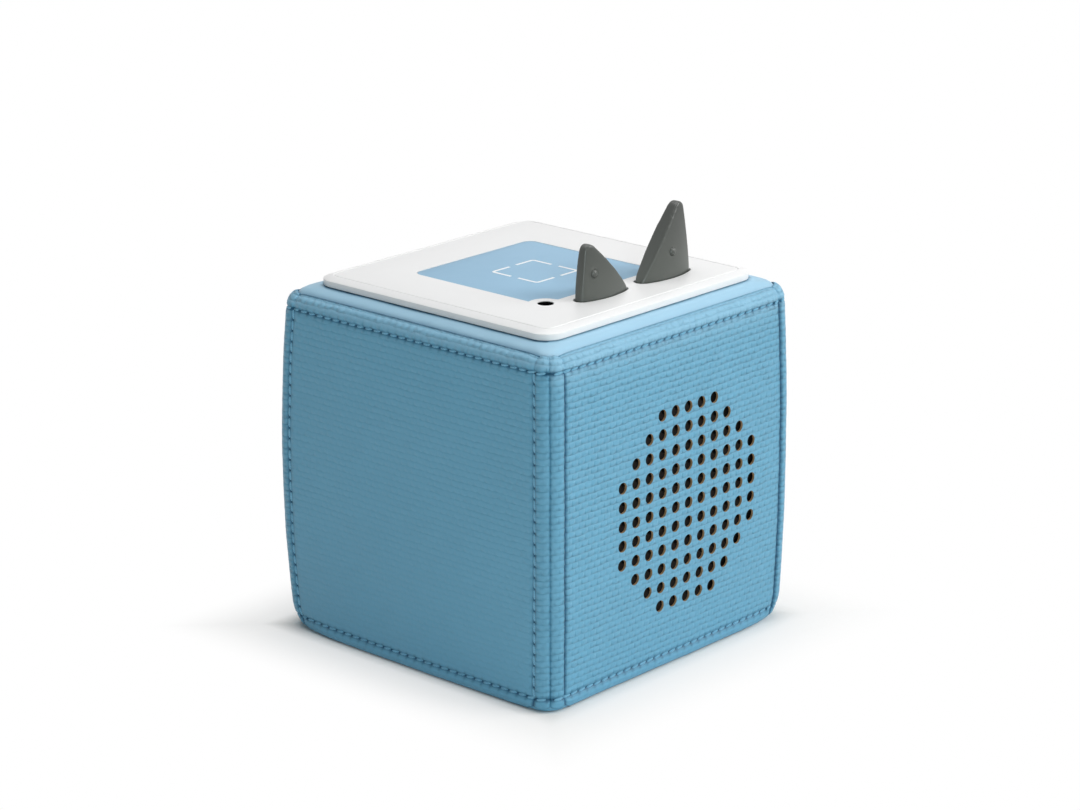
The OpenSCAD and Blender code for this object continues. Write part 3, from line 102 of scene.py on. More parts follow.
class CoverSettings(bpy.types.PropertyGroup):
    """Sizes and colours of the padded cover."""
    half: length("Half width", "Half the width across the upper and lower edges", 0.0598)
    corner: length("Corner radius", "Radius of the upright corners", 0.007)
    top_in: length("Top roll, inwards", "How far the top edge rolls in to its seam", 0.0034)
    top_drop: length("Top roll, downwards", "How far down that roll begins", 0.0050)
    low_roll: length("Bottom roll", "Radius of the bottom edge", 0.0022)
    belly: length("Belly", "How far the whole block swells at half its height", 0.0012)
    crown: length("Crown", "How far the middle of a face swells past its sides", 0.0008)
    sag: length("Sag", "How far the side faces swell at their lower edge", 0.0016)
    lean: length("Lean", "How far the rear left corner stands out at half its height", 0.0013)
    thick: length("Cloth thickness", "Thickness of the coated cloth with its backing", 0.0008)
    side_stitch: length("Side stitch", "From the middle of a face to its upright stitch lines", 0.0528)
    top_stitch: length("Top stitch", "Height of the upper stitch line", 0.1120)
    low_stitch: length("Low stitch", "Height of the lower stitch line", 0.0044)
    pitch: length("Stitch pitch", "Length of one stitch with its gap", 0.0037)
    cloth: tint("Cloth", "Colour of the coated cloth", "#66A7C6")
    # Painted shade: the colour that the weave's hollows are darkened towards.
    hollow_shade: tint("Cloth hollows", "Colour in the hollows of the weave", "#417F9F")
    # Painted shade: the colour that seams, stitch lines and edges are darkened towards.
    crease: tint("Crease", "Colour deep in the seams", "#125373")
    # Partly the border cloth's own colour and partly painted sheen on its upturned faces; the side panels'
    # painted sheen pales towards it as well.
    border: tint("Border", "Colour of the smooth border under the plate", "#A3CEE6")
    thread: tint("Thread", "Colour of the sewing thread", "#7DB6D2")
    foam: tint("Foam", "Colour of the foam behind the cloth", "#2B2622")
    cut_edge: tint("Cut edge", "Colour of the cut edges in the holes", "#B4936C")


class TopSettings(bpy.types.PropertyGroup):
    """Sizes and colours of the plate, the pad, the light and the ears."""
    corner: length("Plate corner", "Radius of the plate's corners", 0.0066)
    bevel: length("Bevel width", "Width of the bevel around the plate", 0.0033)
    bevel_high: length("Bevel height", "Height of that bevel", 0.0010)
    edge: length("Edge break", "Radius on the moulded edges", 0.00010)
    ear_edge: length("Ear edge", "Radius on the soft edges of the ears", 0.0026)
    plate: tint("Plate", "Colour of the moulded plate", "#F3F3F3")
    pad: tint("Pad", "Colour of the soft pad", "#98BED8")
    marker: tint("Marker", "Colour of the printed marker", "#FAFBFC")
    lens: tint("Lens", "Colour of the smoked lens", "#050505")
    ear: tint("Ears", "Colour of the rubber ears", "#50544F")


class StageSettings(bpy.types.PropertyGroup):
    """The camera, the floor and the lamps."""
    lens: bpy.props.FloatProperty(name="Lens", description="Focal length in millimetres", default=110.015)
    floor: tint("Floor", "Colour of the floor and the background", "#FFFFFF")
    key: power("Key light", "Power of the large lamp on the right", 12.6)
    fill: power("Fill light", "Power of the lamp on the left", 3.1)
    top: power("Top light", "Power of the lamp overhead", 9.5)
    rim: power("Rim light", "Power of the small lamp high on the right", 0.5)
    accent: power("Accent light", "Power of the small lamp by the camera", 1.0)
    ambient: bpy.props.FloatProperty(name="Ambient", description="Strength of the even light", default=1.25)


# --------------------------------------------------------------- mesh helpers


def deselect():
    """Leaves nothing selected."""
    for item in bpy.context.selected_objects:
        item.select_set(False)


def take(obj, *others):
    """Makes one object the active one, and it and the others the only ones selected."""
    deselect()
    for item in (obj,) + others:
        item.select_set(True)
    bpy.context.view_layer.objects.active = obj


def named(obj, name):
    """The object, with its mesh, under a name."""
    obj.name = name
    obj.data.name = name
    return obj


def primitive(kind, name, **settings):
    """Adds one of Blender's primitives, names it and bakes its place into its mesh."""
    deselect()
    getattr(bpy.ops.mesh, f"primitive_{kind}_add")(**settings)
    obj = named(bpy.context.active_object, name)
    take(obj)
    bpy.ops.object.transform_apply(location=True, rotation=True, scale=True)
    return obj


def rod(name, radius, x, z, front, back, vertices=48):
    """A round rod from front to back, for filling or cutting."""
    return primitive("cylinder", name, vertices=vertices, radius=radius, depth=back - front,
                     location=(x, (front + back) / 2, z), rotation=(math.pi / 2, 0, 0))


def copied(name, mesh, matrix=None):
    """A new object with a copy of a mesh, moved by a matrix."""
    copy = bpy.data.objects.new(name, mesh.copy())
    if matrix:
        copy.data.transform(matrix)
    bpy.context.collection.objects.link(copy)
    return copy


def joined(pieces):
    """Several objects made one."""
    take(*pieces)
    bpy.ops.object.join()
    return pieces[0]


def modify(obj, kind, **settings):
    """Adds a modifier, sets it and applies it."""
    take(obj)
    modifier = obj.modifiers.new(kind, kind)
    for key, value in settings.items():
        setattr(modifier, key, value)
    bpy.ops.object.modifier_apply(modifier=modifier.name)


def combine(obj, other, operation="DIFFERENCE"):
    """Cuts one closed mesh out of another, or adds it, and removes it."""
    modify(obj, "BOOLEAN", operation=operation, solver="EXACT", object=other)
    bpy.data.objects.remove(other, do_unlink=True)


def smooth(obj, angle):
    """Shades the mesh smooth, with edges over the angle left sharp."""
    take(obj)
    bpy.ops.object.shade_smooth_by_angle(angle=math.radians(angle))


def open_mesh(obj, kind="FACE"):
    """Enters edit mode, to select by that kind."""
    take(obj)
    bpy.ops.object.mode_set(mode="EDIT")
    bpy.ops.mesh.select_mode(type=kind)


def close_mesh():
    """Leaves edit mode."""
    bpy.ops.object.mode_set(mode="OBJECT")


def clean(obj, gap=0.00001):
    """Merges doubles and points the faces outwards."""
    open_mesh(obj)
    bpy.ops.mesh.select_all(action="SELECT")
    bpy.ops.mesh.remove_doubles(threshold=gap)
    bpy.ops.mesh.normals_make_consistent(inside=False)
    close_mesh()


def select(obj, kind, test):
    """Selects, in edit mode, the faces or the edges that pass the test."""
    open_mesh(obj, kind)
    bpy.ops.mesh.select_all(action="DESELECT")
    shape = bmesh.from_edit_mesh(obj.data)
    for item in shape.faces if kind == "FACE" else shape.edges:
        item.select_set(test(item))
    bmesh.update_edit_mesh(obj.data)


def finish_piece(obj, slot, *replaced, body=ROOT):
    """Puts a finished piece on its body, in place of CAD nodes; its slot is not used."""
    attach(obj, body)
    if replaced:
        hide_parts(*replaced)


def middle_of(node):
    """The middle of a CAD node's box."""
    return Vector([(a + b) / 2 for a, b in zip(*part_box(node))])


def held(share):
    """A share held between 0 and 1."""
    return max(0.0, min(1.0, share))


def eased(share):
    """A share held between 0 and 1, with a soft start and end."""
    share = held(share)
    return share * share * (3 - 2 * share)


def spread(low, high, lines, even):
    """Places from low to high: the even ones, and others close beside each line."""
    near = (0.15, 0.3, 0.5, 0.75, 1.05)
    places = {low, high}
    for line in lines:
        places.add(line)
        places.update(line + side * step * MM for step in near for side in (-1, 1))
    places.update(place for place in even if all(abs(place - line) > 1.4 * MM for line in lines))
    return sorted(p for p in places if low <= p <= high)


def woven_sheet(name, across, up, place):
    """A grid with its rows and columns at the given places, moved to where place() puts them."""
    obj = primitive("grid", name, x_subdivisions=len(across) - 1, y_subdivisions=len(up) - 1, size=1)
    layer = obj.data.uv_layers.active.data
    spots = {}
    for vertex in obj.data.vertices:
        i = round((vertex.co.x + 0.5) * (len(across) - 1))
        j = round((vertex.co.y + 0.5) * (len(up) - 1))
        spots[vertex.index] = (across[i], up[j])
        vertex.co = place(across[i], up[j])
    for loop in obj.data.loops:
        layer[loop.index].uv = [s / UV_SPAN for s in spots[loop.vertex_index]]
    return obj


def mark(obj, name, values):
    """Writes one number for each vertex, which a material reads as an attribute."""
    layer = obj.data.attributes.new(name, "FLOAT", "POINT")
    layer.data.foreach_set("value", values)


# ----------------------------------------------------------------- materials


def join(tree, node, inputs):
    """Sets a node's inputs, and links those that are given as sockets."""
    for key, value in inputs.items():
        if isinstance(value, bpy.types.NodeSocket):
            tree.links.new(value, node.inputs[key])
        else:
            node.inputs[key].default_value = value


def add(tree, kind, inputs=(), out=0, **settings):
    """Adds a node with its settings and links, and returns one of its outputs, or all for None."""
    node = tree.nodes.new("ShaderNode" + kind)
    for key, value in settings.items():
        setattr(node, key, value)
    join(tree, node, inputs if isinstance(inputs, dict) else dict(enumerate(inputs)))
    return node.outputs if out is None else node.outputs[out]


def material(name, colour, roughness, **inputs):
    """A material with its shader's own sockets set; returns it with its tree and shader."""
    made = bpy.data.materials.new(name)
    made.use_nodes = True
    made.diffuse_color = colour
    shader = made.node_tree.nodes["Principled BSDF"]
    inputs = {key.replace("_", " "): value for key, value in inputs.items()}
    join(made.node_tree, shader, {"Base Color": colour, "Roughness": roughness, **inputs})
    return made, made.node_tree, shader


def shaded(colour, factor):
    """The same colour, lighter or darker."""
    return tuple(min(1, part * factor) for part in colour[:3]) + (1.0,)


def coated_cloth(name, settings):
    """Polyurethane-coated basket weave: pillows 2.86 mm wide in rows 2.10 mm high, each row half a
    pillow on. The rows round over like ribs, and a soft wedge sinks in at the lower ends of each
    pillow; painted shade darkens the wedges and the edges of each row. The weave attribute says how
    much of that shows, crease how much painted shade lies in the seams and stitch lines, and
    stretch how far painted sheen pales the cloth where it rolls over an edge."""
    made, tree, shader = material(name, settings.cloth, 0.42, Specular_IOR_Level=0.4)
    # A slight wander keeps the rows from looking ruled.
    uv = add(tree, "UVMap")
    wobble = add(tree, "TexNoise", {"Vector": uv, "Scale": 22, "Detail": 2}, None)
    shift = add(tree, "VectorMath", (wobble["Color"], (0.5, 0.5, 0.5)), operation="SUBTRACT")
    small = add(tree, "VectorMath", {0: shift, "Scale": 0.009}, operation="SCALE")
    place = add(tree, "VectorMath", (uv, small), operation="ADD")
    known = dict(zip("xyz", add(tree, "SeparateXYZ", (place,), None)))
    known["uneven"] = add(tree, "MapRange", (wobble["Fac"], 0.35, 0.62, 0.55, 1.0))
    known["weave"] = add(tree, "Attribute", out="Fac", attribute_name="weave")
    known["grain"] = add(tree, "TexNoise", {"Vector": uv, "Scale": 190, "Detail": 3})
    for result, operation, *values in (
            ("along", "MULTIPLY", "x", UV_SPAN / CELL[0]),
            ("up", "MULTIPLY", "y", UV_SPAN / CELL[1]),
            ("row", "FLOOR", "up"),
            # Across a pillow from its middle, and up its row from the middle.
            ("side", "MULTIPLY_ADD", "row", 0.5, "along"),
            ("side", "FRACT", "side"),
            ("side", "SUBTRACT", "side", 0.5),
            ("side", "ABSOLUTE", "side"),
            ("high", "SUBTRACT", "up", "row"),
            ("high", "SUBTRACT", "high", 0.5),
            # The round of the rib, and the ends of the pillow.
            ("rib", "MULTIPLY", "high", 2),
            ("rib", "ABSOLUTE", "rib"),
            ("rib", "POWER", "rib", 2.6),
            ("rib", "SUBTRACT", 1, "rib"),
            ("pillow", "MULTIPLY", "side", 2),
            ("pillow", "POWER", "pillow", 4),
            ("pillow", "MULTIPLY_ADD", "pillow", -0.42, 1),
            # The wedge between two pillows.
            ("pit_side", "SUBTRACT", "side", 0.5),
            ("pit_side", "MULTIPLY", "pit_side", 1 / 0.24),
            ("pit_high", "ADD", "high", 0.36),
            ("pit_high", "MULTIPLY", "pit_high", 1 / 0.21),
            ("pit_high", "MULTIPLY", "pit_high", "pit_high"),
            ("far", "MULTIPLY_ADD", "pit_side", "pit_side", "pit_high"),
            ("far", "MULTIPLY_ADD", "far", "far", 1),
            ("pit", "DIVIDE", 1, "far"),
            # Relief and painted shade, as far as the weave shows.
            ("weave", "MULTIPLY", "uneven", "weave"),
            ("relief", "MULTIPLY", "rib", "pillow"),
            ("relief", "MULTIPLY_ADD", "pit", -0.42, "relief"),
            ("grain", "MULTIPLY", "grain", 0.16),
            ("relief", "MULTIPLY_ADD", "relief", "weave", "grain"),
            # Painted shade at the edges of each row and in the wedges.
            ("shade", "SUBTRACT", 1, "rib"),
            ("shade", "MULTIPLY", "shade", 0.14),
            ("shade", "MULTIPLY_ADD", "pit", 0.30, "shade"),
            ("shade", "MULTIPLY", "shade", "weave")):
        known[result] = add(tree, "Math", [known.get(value, value) for value in values],
                            operation=operation)
    cloud = add(tree, "TexNoise", {"Vector": uv, "Scale": 3, "Detail": 2})
    stretch, crease = (add(tree, "Attribute", out="Fac", attribute_name=key)
                       for key in ("stretch", "crease"))
    # Painted shade in the weave's hollows, a random mottle, painted sheen where the cloth rolls over an edge,
    # and painted shade in the seams and stitch lines.
    colour = settings.cloth
    for share, over in ((known["shade"], settings.hollow_shade),
                        (add(tree, "MapRange", (cloud, 0.3, 0.7, 0.0, 0.12)), shaded(settings.cloth, 0.8)),
                        (stretch, settings.border), (crease, settings.crease)):
        colour = add(tree, "Mix", {0: share, 6: colour, 7: over}, 2, data_type="RGBA")
    bump = add(tree, "Bump", {"Height": known["relief"], "Strength": 0.9, "Distance": 0.00050})
    join(tree, shader, {"Base Color": colour, "Normal": bump})
    return made


def smooth_cloth(name, colour, crease_shade_colour):
    """The same coated cloth with a fine smooth grain: drawn tight over foam, so only pinprick grain
    and faint drawn lines show, and painted shade darkens it where the crease attribute says that it dips in."""
    made, tree, shader = material(name, colour, 0.42, Specular_IOR_Level=0.45)
    place = add(tree, "TexCoord", out="Object")
    grain, cloud = (add(tree, "TexNoise", {"Vector": place, "Scale": scale, "Detail": 3})
                    for scale in (900, 60))
    share = add(tree, "Math", (cloud, 0.4), operation="MULTIPLY")
    mottled = add(tree, "Mix", {0: share, 6: colour, 7: shaded(colour, 0.84)}, 2, data_type="RGBA")
    # Painted shade where the cloth dips in.
    crease = add(tree, "Attribute", out="Fac", attribute_name="crease")
    mottled = add(tree, "Mix", {0: crease, 6: mottled, 7: crease_shade_colour}, 2, data_type="RGBA")
    relief = add(tree, "Math", (grain, 0.4, cloud), operation="MULTIPLY_ADD")
    bump = add(tree, "Bump", {"Height": relief, "Strength": 0.4, "Distance": 0.0004})
    join(tree, shader, {"Base Color": mottled, "Normal": bump})
    return made


def speckled(name, colour, roughness, scale, depth, vary=0.08, strength=0.2, **inputs):
    """A moulded, sprayed or cast surface: colour and relief follow grain of one size in 1/m, so the
    eye sees a fine, even tooth, and the sheen breaks up a little in broad clouds."""
    made, tree, shader = material(name, colour, roughness, **inputs)
    place = add(tree, "TexCoord", out="Object")
    grain = add(tree, "TexNoise", {"Vector": place, "Scale": scale, "Detail": 4})
    cloud = add(tree, "TexNoise", {"Vector": place, "Scale": scale / 18, "Detail": 2})
    share = add(tree, "Math", (cloud, vary), operation="MULTIPLY")
    join(tree, shader, {
        "Base Color": add(tree, "Mix", {0: share, 6: colour, 7: shaded(colour, 0.35)}, 2, data_type="RGBA"),
        "Roughness": add(tree, "MapRange", (cloud, 0.0, 1.0, roughness - 0.05, roughness + 0.05)),
        "Normal": add(tree, "Bump", {"Height": grain, "Strength": strength, "Distance": depth})})
    return made


def brushed(name, colour, roughness, across=(2600, 60, 60)):
    """A drawn or rolled metal: fine lines along one way, drawn about 0.4 mm apart so that they show."""
    made, tree, shader = material(name, colour, roughness, Metallic=1.0)
    lines = add(tree, "Mapping", {"Vector": add(tree, "TexCoord", out="Object"), "Scale": across})
    grain = add(tree, "TexNoise", {"Vector": lines, "Scale": 1, "Detail": 3})
    join(tree, shader, {
        "Base Color": add(tree, "Mix", {0: grain, 6: shaded(colour, 0.85), 7: colour}, 2, data_type="RGBA"),
        "Roughness": add(tree, "MapRange", (grain, 0.0, 1.0, roughness - 0.08, roughness + 0.12)),
        "Normal": add(tree, "Bump", {"Height": grain, "Strength": 0.1, "Distance": 0.00005})})
    return made


def solder_mask():
    """Fibreglass board under green solder mask: copper tracks, drawn 0.5 mm wide, show as raised
    lines of a lighter green under a gloss coat."""
    green, track = linear("#1F5C32"), linear("#3C8A4D")
    made, tree, shader = material("Fibreglass board, green solder mask", green, 0.32, Coat_Weight=0.3)
    cells = add(tree, "TexVoronoi", {"Vector": add(tree, "TexCoord", out="Object"), "Scale": 320},
                "Distance", distance="MANHATTAN", feature="F1")
    lines = add(tree, "Math", (cells, 0.62), operation="GREATER_THAN")
    join(tree, shader, {
        "Base Color": add(tree, "Mix", {0: lines, 6: green, 7: track}, 2, data_type="RGBA"),
        "Normal": add(tree, "Bump", {"Height": lines, "Strength": 0.2, "Distance": 0.00004})})
    return made


def ear_rubber(top):
    """Thermoplastic rubber, moulded in a blasted tool: a soft grey with a broad dull sheen, darkened
    towards the tips by painted shade, so that the lower parts look lit by the white plate."""
    made, tree, shader = material("TPE rubber, moulded, warm grey", top.ear, 0.34, Specular_IOR_Level=0.55)
    place = add(tree, "TexCoord", out="Object")
    grain = add(tree, "TexNoise", {"Vector": place, "Scale": 2600, "Detail": 4})
    height = add(tree, "SeparateXYZ", (place,), "Z")
    # Painted shade: darker towards the tips.
    rise = add(tree, "MapRange", (height, PLATE_HIGH[2] + 0.003, PLATE_HIGH[2] + 0.021, 0.0, 0.75))
    join(tree, shader, {
        "Base Color": add(tree, "Mix", {0: rise, 6: top.ear, 7: shaded(top.ear, 0.4)}, 2, data_type="RGBA"),
        "Normal": add(tree, "Bump", {"Height": grain, "Strength": 0.2, "Distance": 0.00004})})
    return made


def thread_material(cover):
    """Bonded polyester thread, twisted: fine slanting strands, a touch lighter than the cloth."""
    made, tree, shader = material("Bonded polyester thread, twisted", cover.thread, 0.6)
    strands = add(tree, "TexWave", {"Vector": add(tree, "TexCoord", out="Object"), "Scale": 900}, "Fac",
                  wave_type="BANDS", bands_direction="DIAGONAL")
    join(tree, shader, {
        "Base Color": add(tree, "Mix", {0: strands, 6: cover.cloth, 7: cover.thread}, 2, data_type="RGBA"),
        "Normal": add(tree, "Bump", {"Height": strands, "Strength": 0.5, "Distance": 0.00008})})
    return made


def slot_materials(cover, top):
    """One material for each slot of the record that a CAD node still shows. The rows say how it is
    made, its colour, its roughness, its grain in 1/m and how deep that is, and for some how much
    its tone varies and how strong its relief looks; the metals say which way their lines run."""
    moulded = {
        "blue_fabric": ("Coated polyester, underside", cover.cloth, 0.55, 900, 0.0002, 0.2, 0.5),
        "liner_foam": ("Polyurethane foam, open cells", cover.foam, 0.95, 1300, 0.0004, 0.5, 0.9),
        "white_plastic": ("ABS, moulded, satin white", top.plate, 0.38, 4000, 0.00002, 0.02),
        "white_print": ("Screen ink, white", top.marker, 0.5, 5000, 0.00001, 0.02),
        "led_body": ("Epoxy, clear diode body", "#E8F0D0", 0.15, 3000, 0.00001),
        "dark_plastic": ("ABS, moulded, fine spark grain, charcoal", "#34373A", 0.5, 3500, 0.00006),
        "light_plastic": ("ABS, moulded, light grey", "#D9D9D6", 0.45, 3000, 0.00004),
        "ferrite": ("Ferrite, sintered", "#3E3E40", 0.6, 2500, 0.00006, 0.3, 0.5),
        "foot_rubber": ("Natural rubber, die-cut, black", "#26282B", 0.8, 1800, 0.0001, 0.2, 0.5),
        "black_paper": ("Paper pulp, pressed, black", "#202022", 0.85, 2200, 0.0001, 0.3, 0.6),
        "spider_cloth": ("Cotton, resin-dipped", "#B98A3C", 0.8, 1500, 0.0002, 0.4, 0.8),
        "chip_plastic": ("Epoxy moulding compound, black", "#1B1B1D", 0.6, 3500, 0.00004),
        "socket_plastic": ("Nylon, moulded, natural", "#E9E4D4", 0.45, 2500, 0.00003),
        "shrink_film": ("PVC film, shrunk, blue", "#3F6FB5", 0.25, 700, 0.00012, 0.1, 0.3),
        "red_lead": ("PVC insulation, red", "#B02A2A", 0.4, 1500, 0.00004),
        "black_lead": ("PVC insulation, black", "#30343A", 0.4, 1500, 0.00004),
        "pale_lead": ("PVC insulation, cream", "#D9D3C0", 0.4, 1500, 0.00004),
        "gasket_foam": ("EVA foam, closed cells, black", "#1C1C1C", 0.9, 2000, 0.0002, 0.3, 0.8),
    }
    metals = {
        "steel": ("Zinc-plated steel, rolled", "#B9BCBF", 0.34),
        "nickel_magnet": ("Neodymium magnet, nickel-plated", "#A9ACAF", 0.2, (300, 300, 300)),
        "gold_contact": ("Brass, gold-plated", "#D9AE55", 0.25, (400, 400, 400)),
        "copper_coil": ("Enamelled copper wire, wound", "#B5652A", 0.35, (60, 3600, 60)),
        "cell_steel": ("Drawn steel can", "#D8DADC", 0.28),
    }
    made = {"circuit_board": solder_mask(), "ear_rubber": ear_rubber(top)}
    made["smoked_lens"] = speckled("Polycarbonate, smoked", top.lens, 0.4, 3000, 0.000005, 0.0, 0.02,
                                   Specular_IOR_Level=0.1)
    for rows, finish in ((moulded, speckled), (metals, brushed)):
        for slot, (name, colour, *numbers) in rows.items():
            made[slot] = finish(name, linear(colour) if isinstance(colour, str) else colour, *numbers)
    return made


# -------------------------------------------------------------- padded cover


def seam_reach(cover):
    """Distance along the cloth from the middle of a face to the corner seam."""
    return cover.half - cover.corner + cover.corner * math.pi / 4


def dip(distance, width):
    """A smooth hollow, 1 at its middle."""
    return math.exp(-(distance / width) ** 2)


def swollen(share):
    """A pad's swell between two stitched edges, at a share of the way across."""
    return math.sin(math.pi * held(share)) ** 0.8


def corner_share(cover, side):
    """How near the upright corner a place along the cloth is: 0 on the face, 1 at the seam."""
    return eased((side - cover.side_stitch + 0.004) / (seam_reach(cover) - cover.side_stitch))


def cloth_relief(cover, s, z):
    """How far the cloth lies outside its plain form, in metres: stitched channels pull in, the
    strips beside them swell, and the face ripples a little between."""
    side = abs(s)
    beyond, above, below = side - cover.side_stitch, z - cover.top_stitch, cover.low_stitch - z
    # The stitched channels.
    out = -0.0006 * dip(beyond, 0.00065) * min(1.0, z / 0.004)
    out -= 0.00065 * (dip(above, 0.0007) + dip(below, 0.0006))
    # The strips between the channels and the seams; the level ones swell less near the corners.
    if beyond > 0:
        out += 0.00036 * swollen(beyond / (seam_reach(cover) - cover.side_stitch)) * min(1.0, z / 0.005)
    alone = 1 - 0.8 * corner_share(cover, side)
    if above > 0:
        out += 0.0011 * swollen(above / (COVER_TOP - cover.top_stitch)) * alone
    if below > 0:
        out += 0.0004 * swollen(below / cover.low_stitch * 0.8) * alone
    # Every stitch draws the cloth in, and the top seam gathers it.
    level = min(abs(above), abs(below))
    pull = math.exp(-min(abs(beyond), level) / 0.004)
    wave = 0.5 - 0.5 * math.cos(2 * math.pi * (s if level < 0.004 else z) / cover.pitch)
    out += 0.00012 * pull * wave
    out += 0.00016 * dip(z - COVER_TOP + 0.0012, 0.0016) * math.cos(2 * math.pi * s / 0.0031)
    # Slow and quick unevenness of the padding.
    out += 0.00022 * noise.noise(Vector((s / 0.024, z / 0.019, 3.1)))
    out += 0.00009 * noise.noise(Vector((s / 0.006, z / 0.009, 8.7))) * (0.3 + pull)
    return out


def top_arc(cover):
    """Length of the cloth's roll at its top edge."""
    return math.pi / 2 * math.sqrt((cover.top_in ** 2 + cover.top_drop ** 2) / 2)


def cloth_profile(cover, climb):
    """How far in, how high and how far turned up the cloth lies at a climb from the floor."""
    roll, low_arc = cover.low_roll, cover.low_roll * math.pi / 2
    rise = COVER_TOP - LIFT - roll - cover.top_drop
    if climb < low_arc:
        angle = climb / roll
        return roll * (1 - math.sin(angle)), LIFT + roll * (1 - math.cos(angle)), -math.cos(angle)
    if climb < low_arc + rise:
        return 0.0, LIFT + roll + climb - low_arc, 0.0
    down = climb - low_arc - rise - top_arc(cover)
    if down < 0:
        angle = (1 + down / top_arc(cover)) * math.pi / 2
        return (cover.top_in * (1 - math.cos(angle)), COVER_TOP - cover.top_drop * (1 - math.sin(angle)),
                math.sin(angle) ** 1.5)
    return cover.top_in + 0.25 * down, COVER_TOP - down, 0.3


def cloth_climb(cover, z):
    """The climb at which the upright part of the cloth reaches a height."""
    return z - LIFT - cover.low_roll + cover.low_roll * math.pi / 2


def cloth_top(cover):
    """The climb at which the cloth reaches the top seam."""
    return cloth_climb(cover, COVER_TOP - cover.top_drop) + top_arc(cover)


def seam_climb(cover, s, climb):
    """The climb with the part under the lower stitch line drawn together, so that the panel's lower
    edge lies under the cube along its sides and rises at its corners."""
    low = cloth_climb(cover, cover.low_stitch)
    if climb >= low:
        return climb
    strip = (abs(s) - cover.side_stitch) / (seam_reach(cover) - cover.side_stitch)
    start = 0.0011 + 0.0022 * corner_share(cover, abs(s)) - 0.0010 * swollen(strip)
    return low - (low - max(climb, 0.0)) * (low - start) / low


def sag_at(cover, side, z):
    """How far a side face sags outwards at a distance from its middle and a height."""
    return cover.sag * max(0.0, 1 - z / 0.07) ** 2 * (1 - (side / seam_reach(cover)) ** 4)


def cloth_place(cover, turn, s, climb):
    """The point of a side panel at s along the cloth and climb up it, turned round to its side."""
    side = abs(s)
    inset, z, up = cloth_profile(cover, seam_climb(cover, s, climb))
    straight = cover.half - cover.corner
    turned = max(0.0, (side - straight) / cover.corner)
    middle = COVER_TOP / 2
    bulge = max(0.0, 1 - ((z - middle) / middle) ** 2)
    flat = max(0.0, 1 - (side / straight) ** 2)
    out = bulge * (cover.belly + cover.crown * flat)
    out += abs(math.sin(turn)) * sag_at(cover, side, z)
    relief = cloth_relief(cover, s, z)
    out += relief * (1 - 0.5 * abs(up)) - inset - max(0.0, -climb)
    gap = seam_reach(cover) - side
    if gap < 0.0010:
        out -= 0.00035 * (1 - gap / 0.0010) ** 2
    wider = bulge * cover.belly * min(1.0, side / straight)
    radius = cover.corner + out - wider
    x = min(side, straight) + wider + radius * math.sin(turned)
    y = -(straight + wider + radius * math.cos(turned))
    point = Matrix.Rotation(turn, 3, "Z") @ Vector((math.copysign(x, s), y, z + up * relief * 0.8))
    away = Vector((-1, 1, 0)) / math.sqrt(2)
    near = held((point.dot(away) - 0.055) / 0.027)
    return rounded_off(point + away * cover.lean * bulge * near * near)


def rounded_off(point):
    """The point drawn in at the lower end of an upright corner; the front left one stands out."""
    outwards = Vector((point.x, point.y, 0)).normalized()
    near = held((abs(point.x) + abs(point.y) - 0.094) / 0.022)
    low = max(0.0, 1 - point.z / 0.010)
    drawn = -0.0009 if point.x < 0 and point.y < 0 else 0.0026
    return point - outwards * drawn * near * near * low * low


def stitch_spots(cover, level):
    """How many stitches a line of one side has, and the place of its first and last end: from
    corner to corner, or from the lower stitch line to the upper."""
    if level:
        reach = seam_reach(cover) - 0.001
        return round(2 * reach / cover.pitch), -reach, reach
    return round((cover.top_stitch - cover.low_stitch) / cover.pitch), cover.low_stitch, cover.top_stitch


def needle_hole(cover, place, level):
    """How near a place along a stitch line is to the holes between its stitches, from 0 to 1."""
    count, low, high = stitch_spots(cover, level)
    share = (place - low) / (high - low) * count
    return dip((share - round(share)) * (high - low) / count, 0.0006)


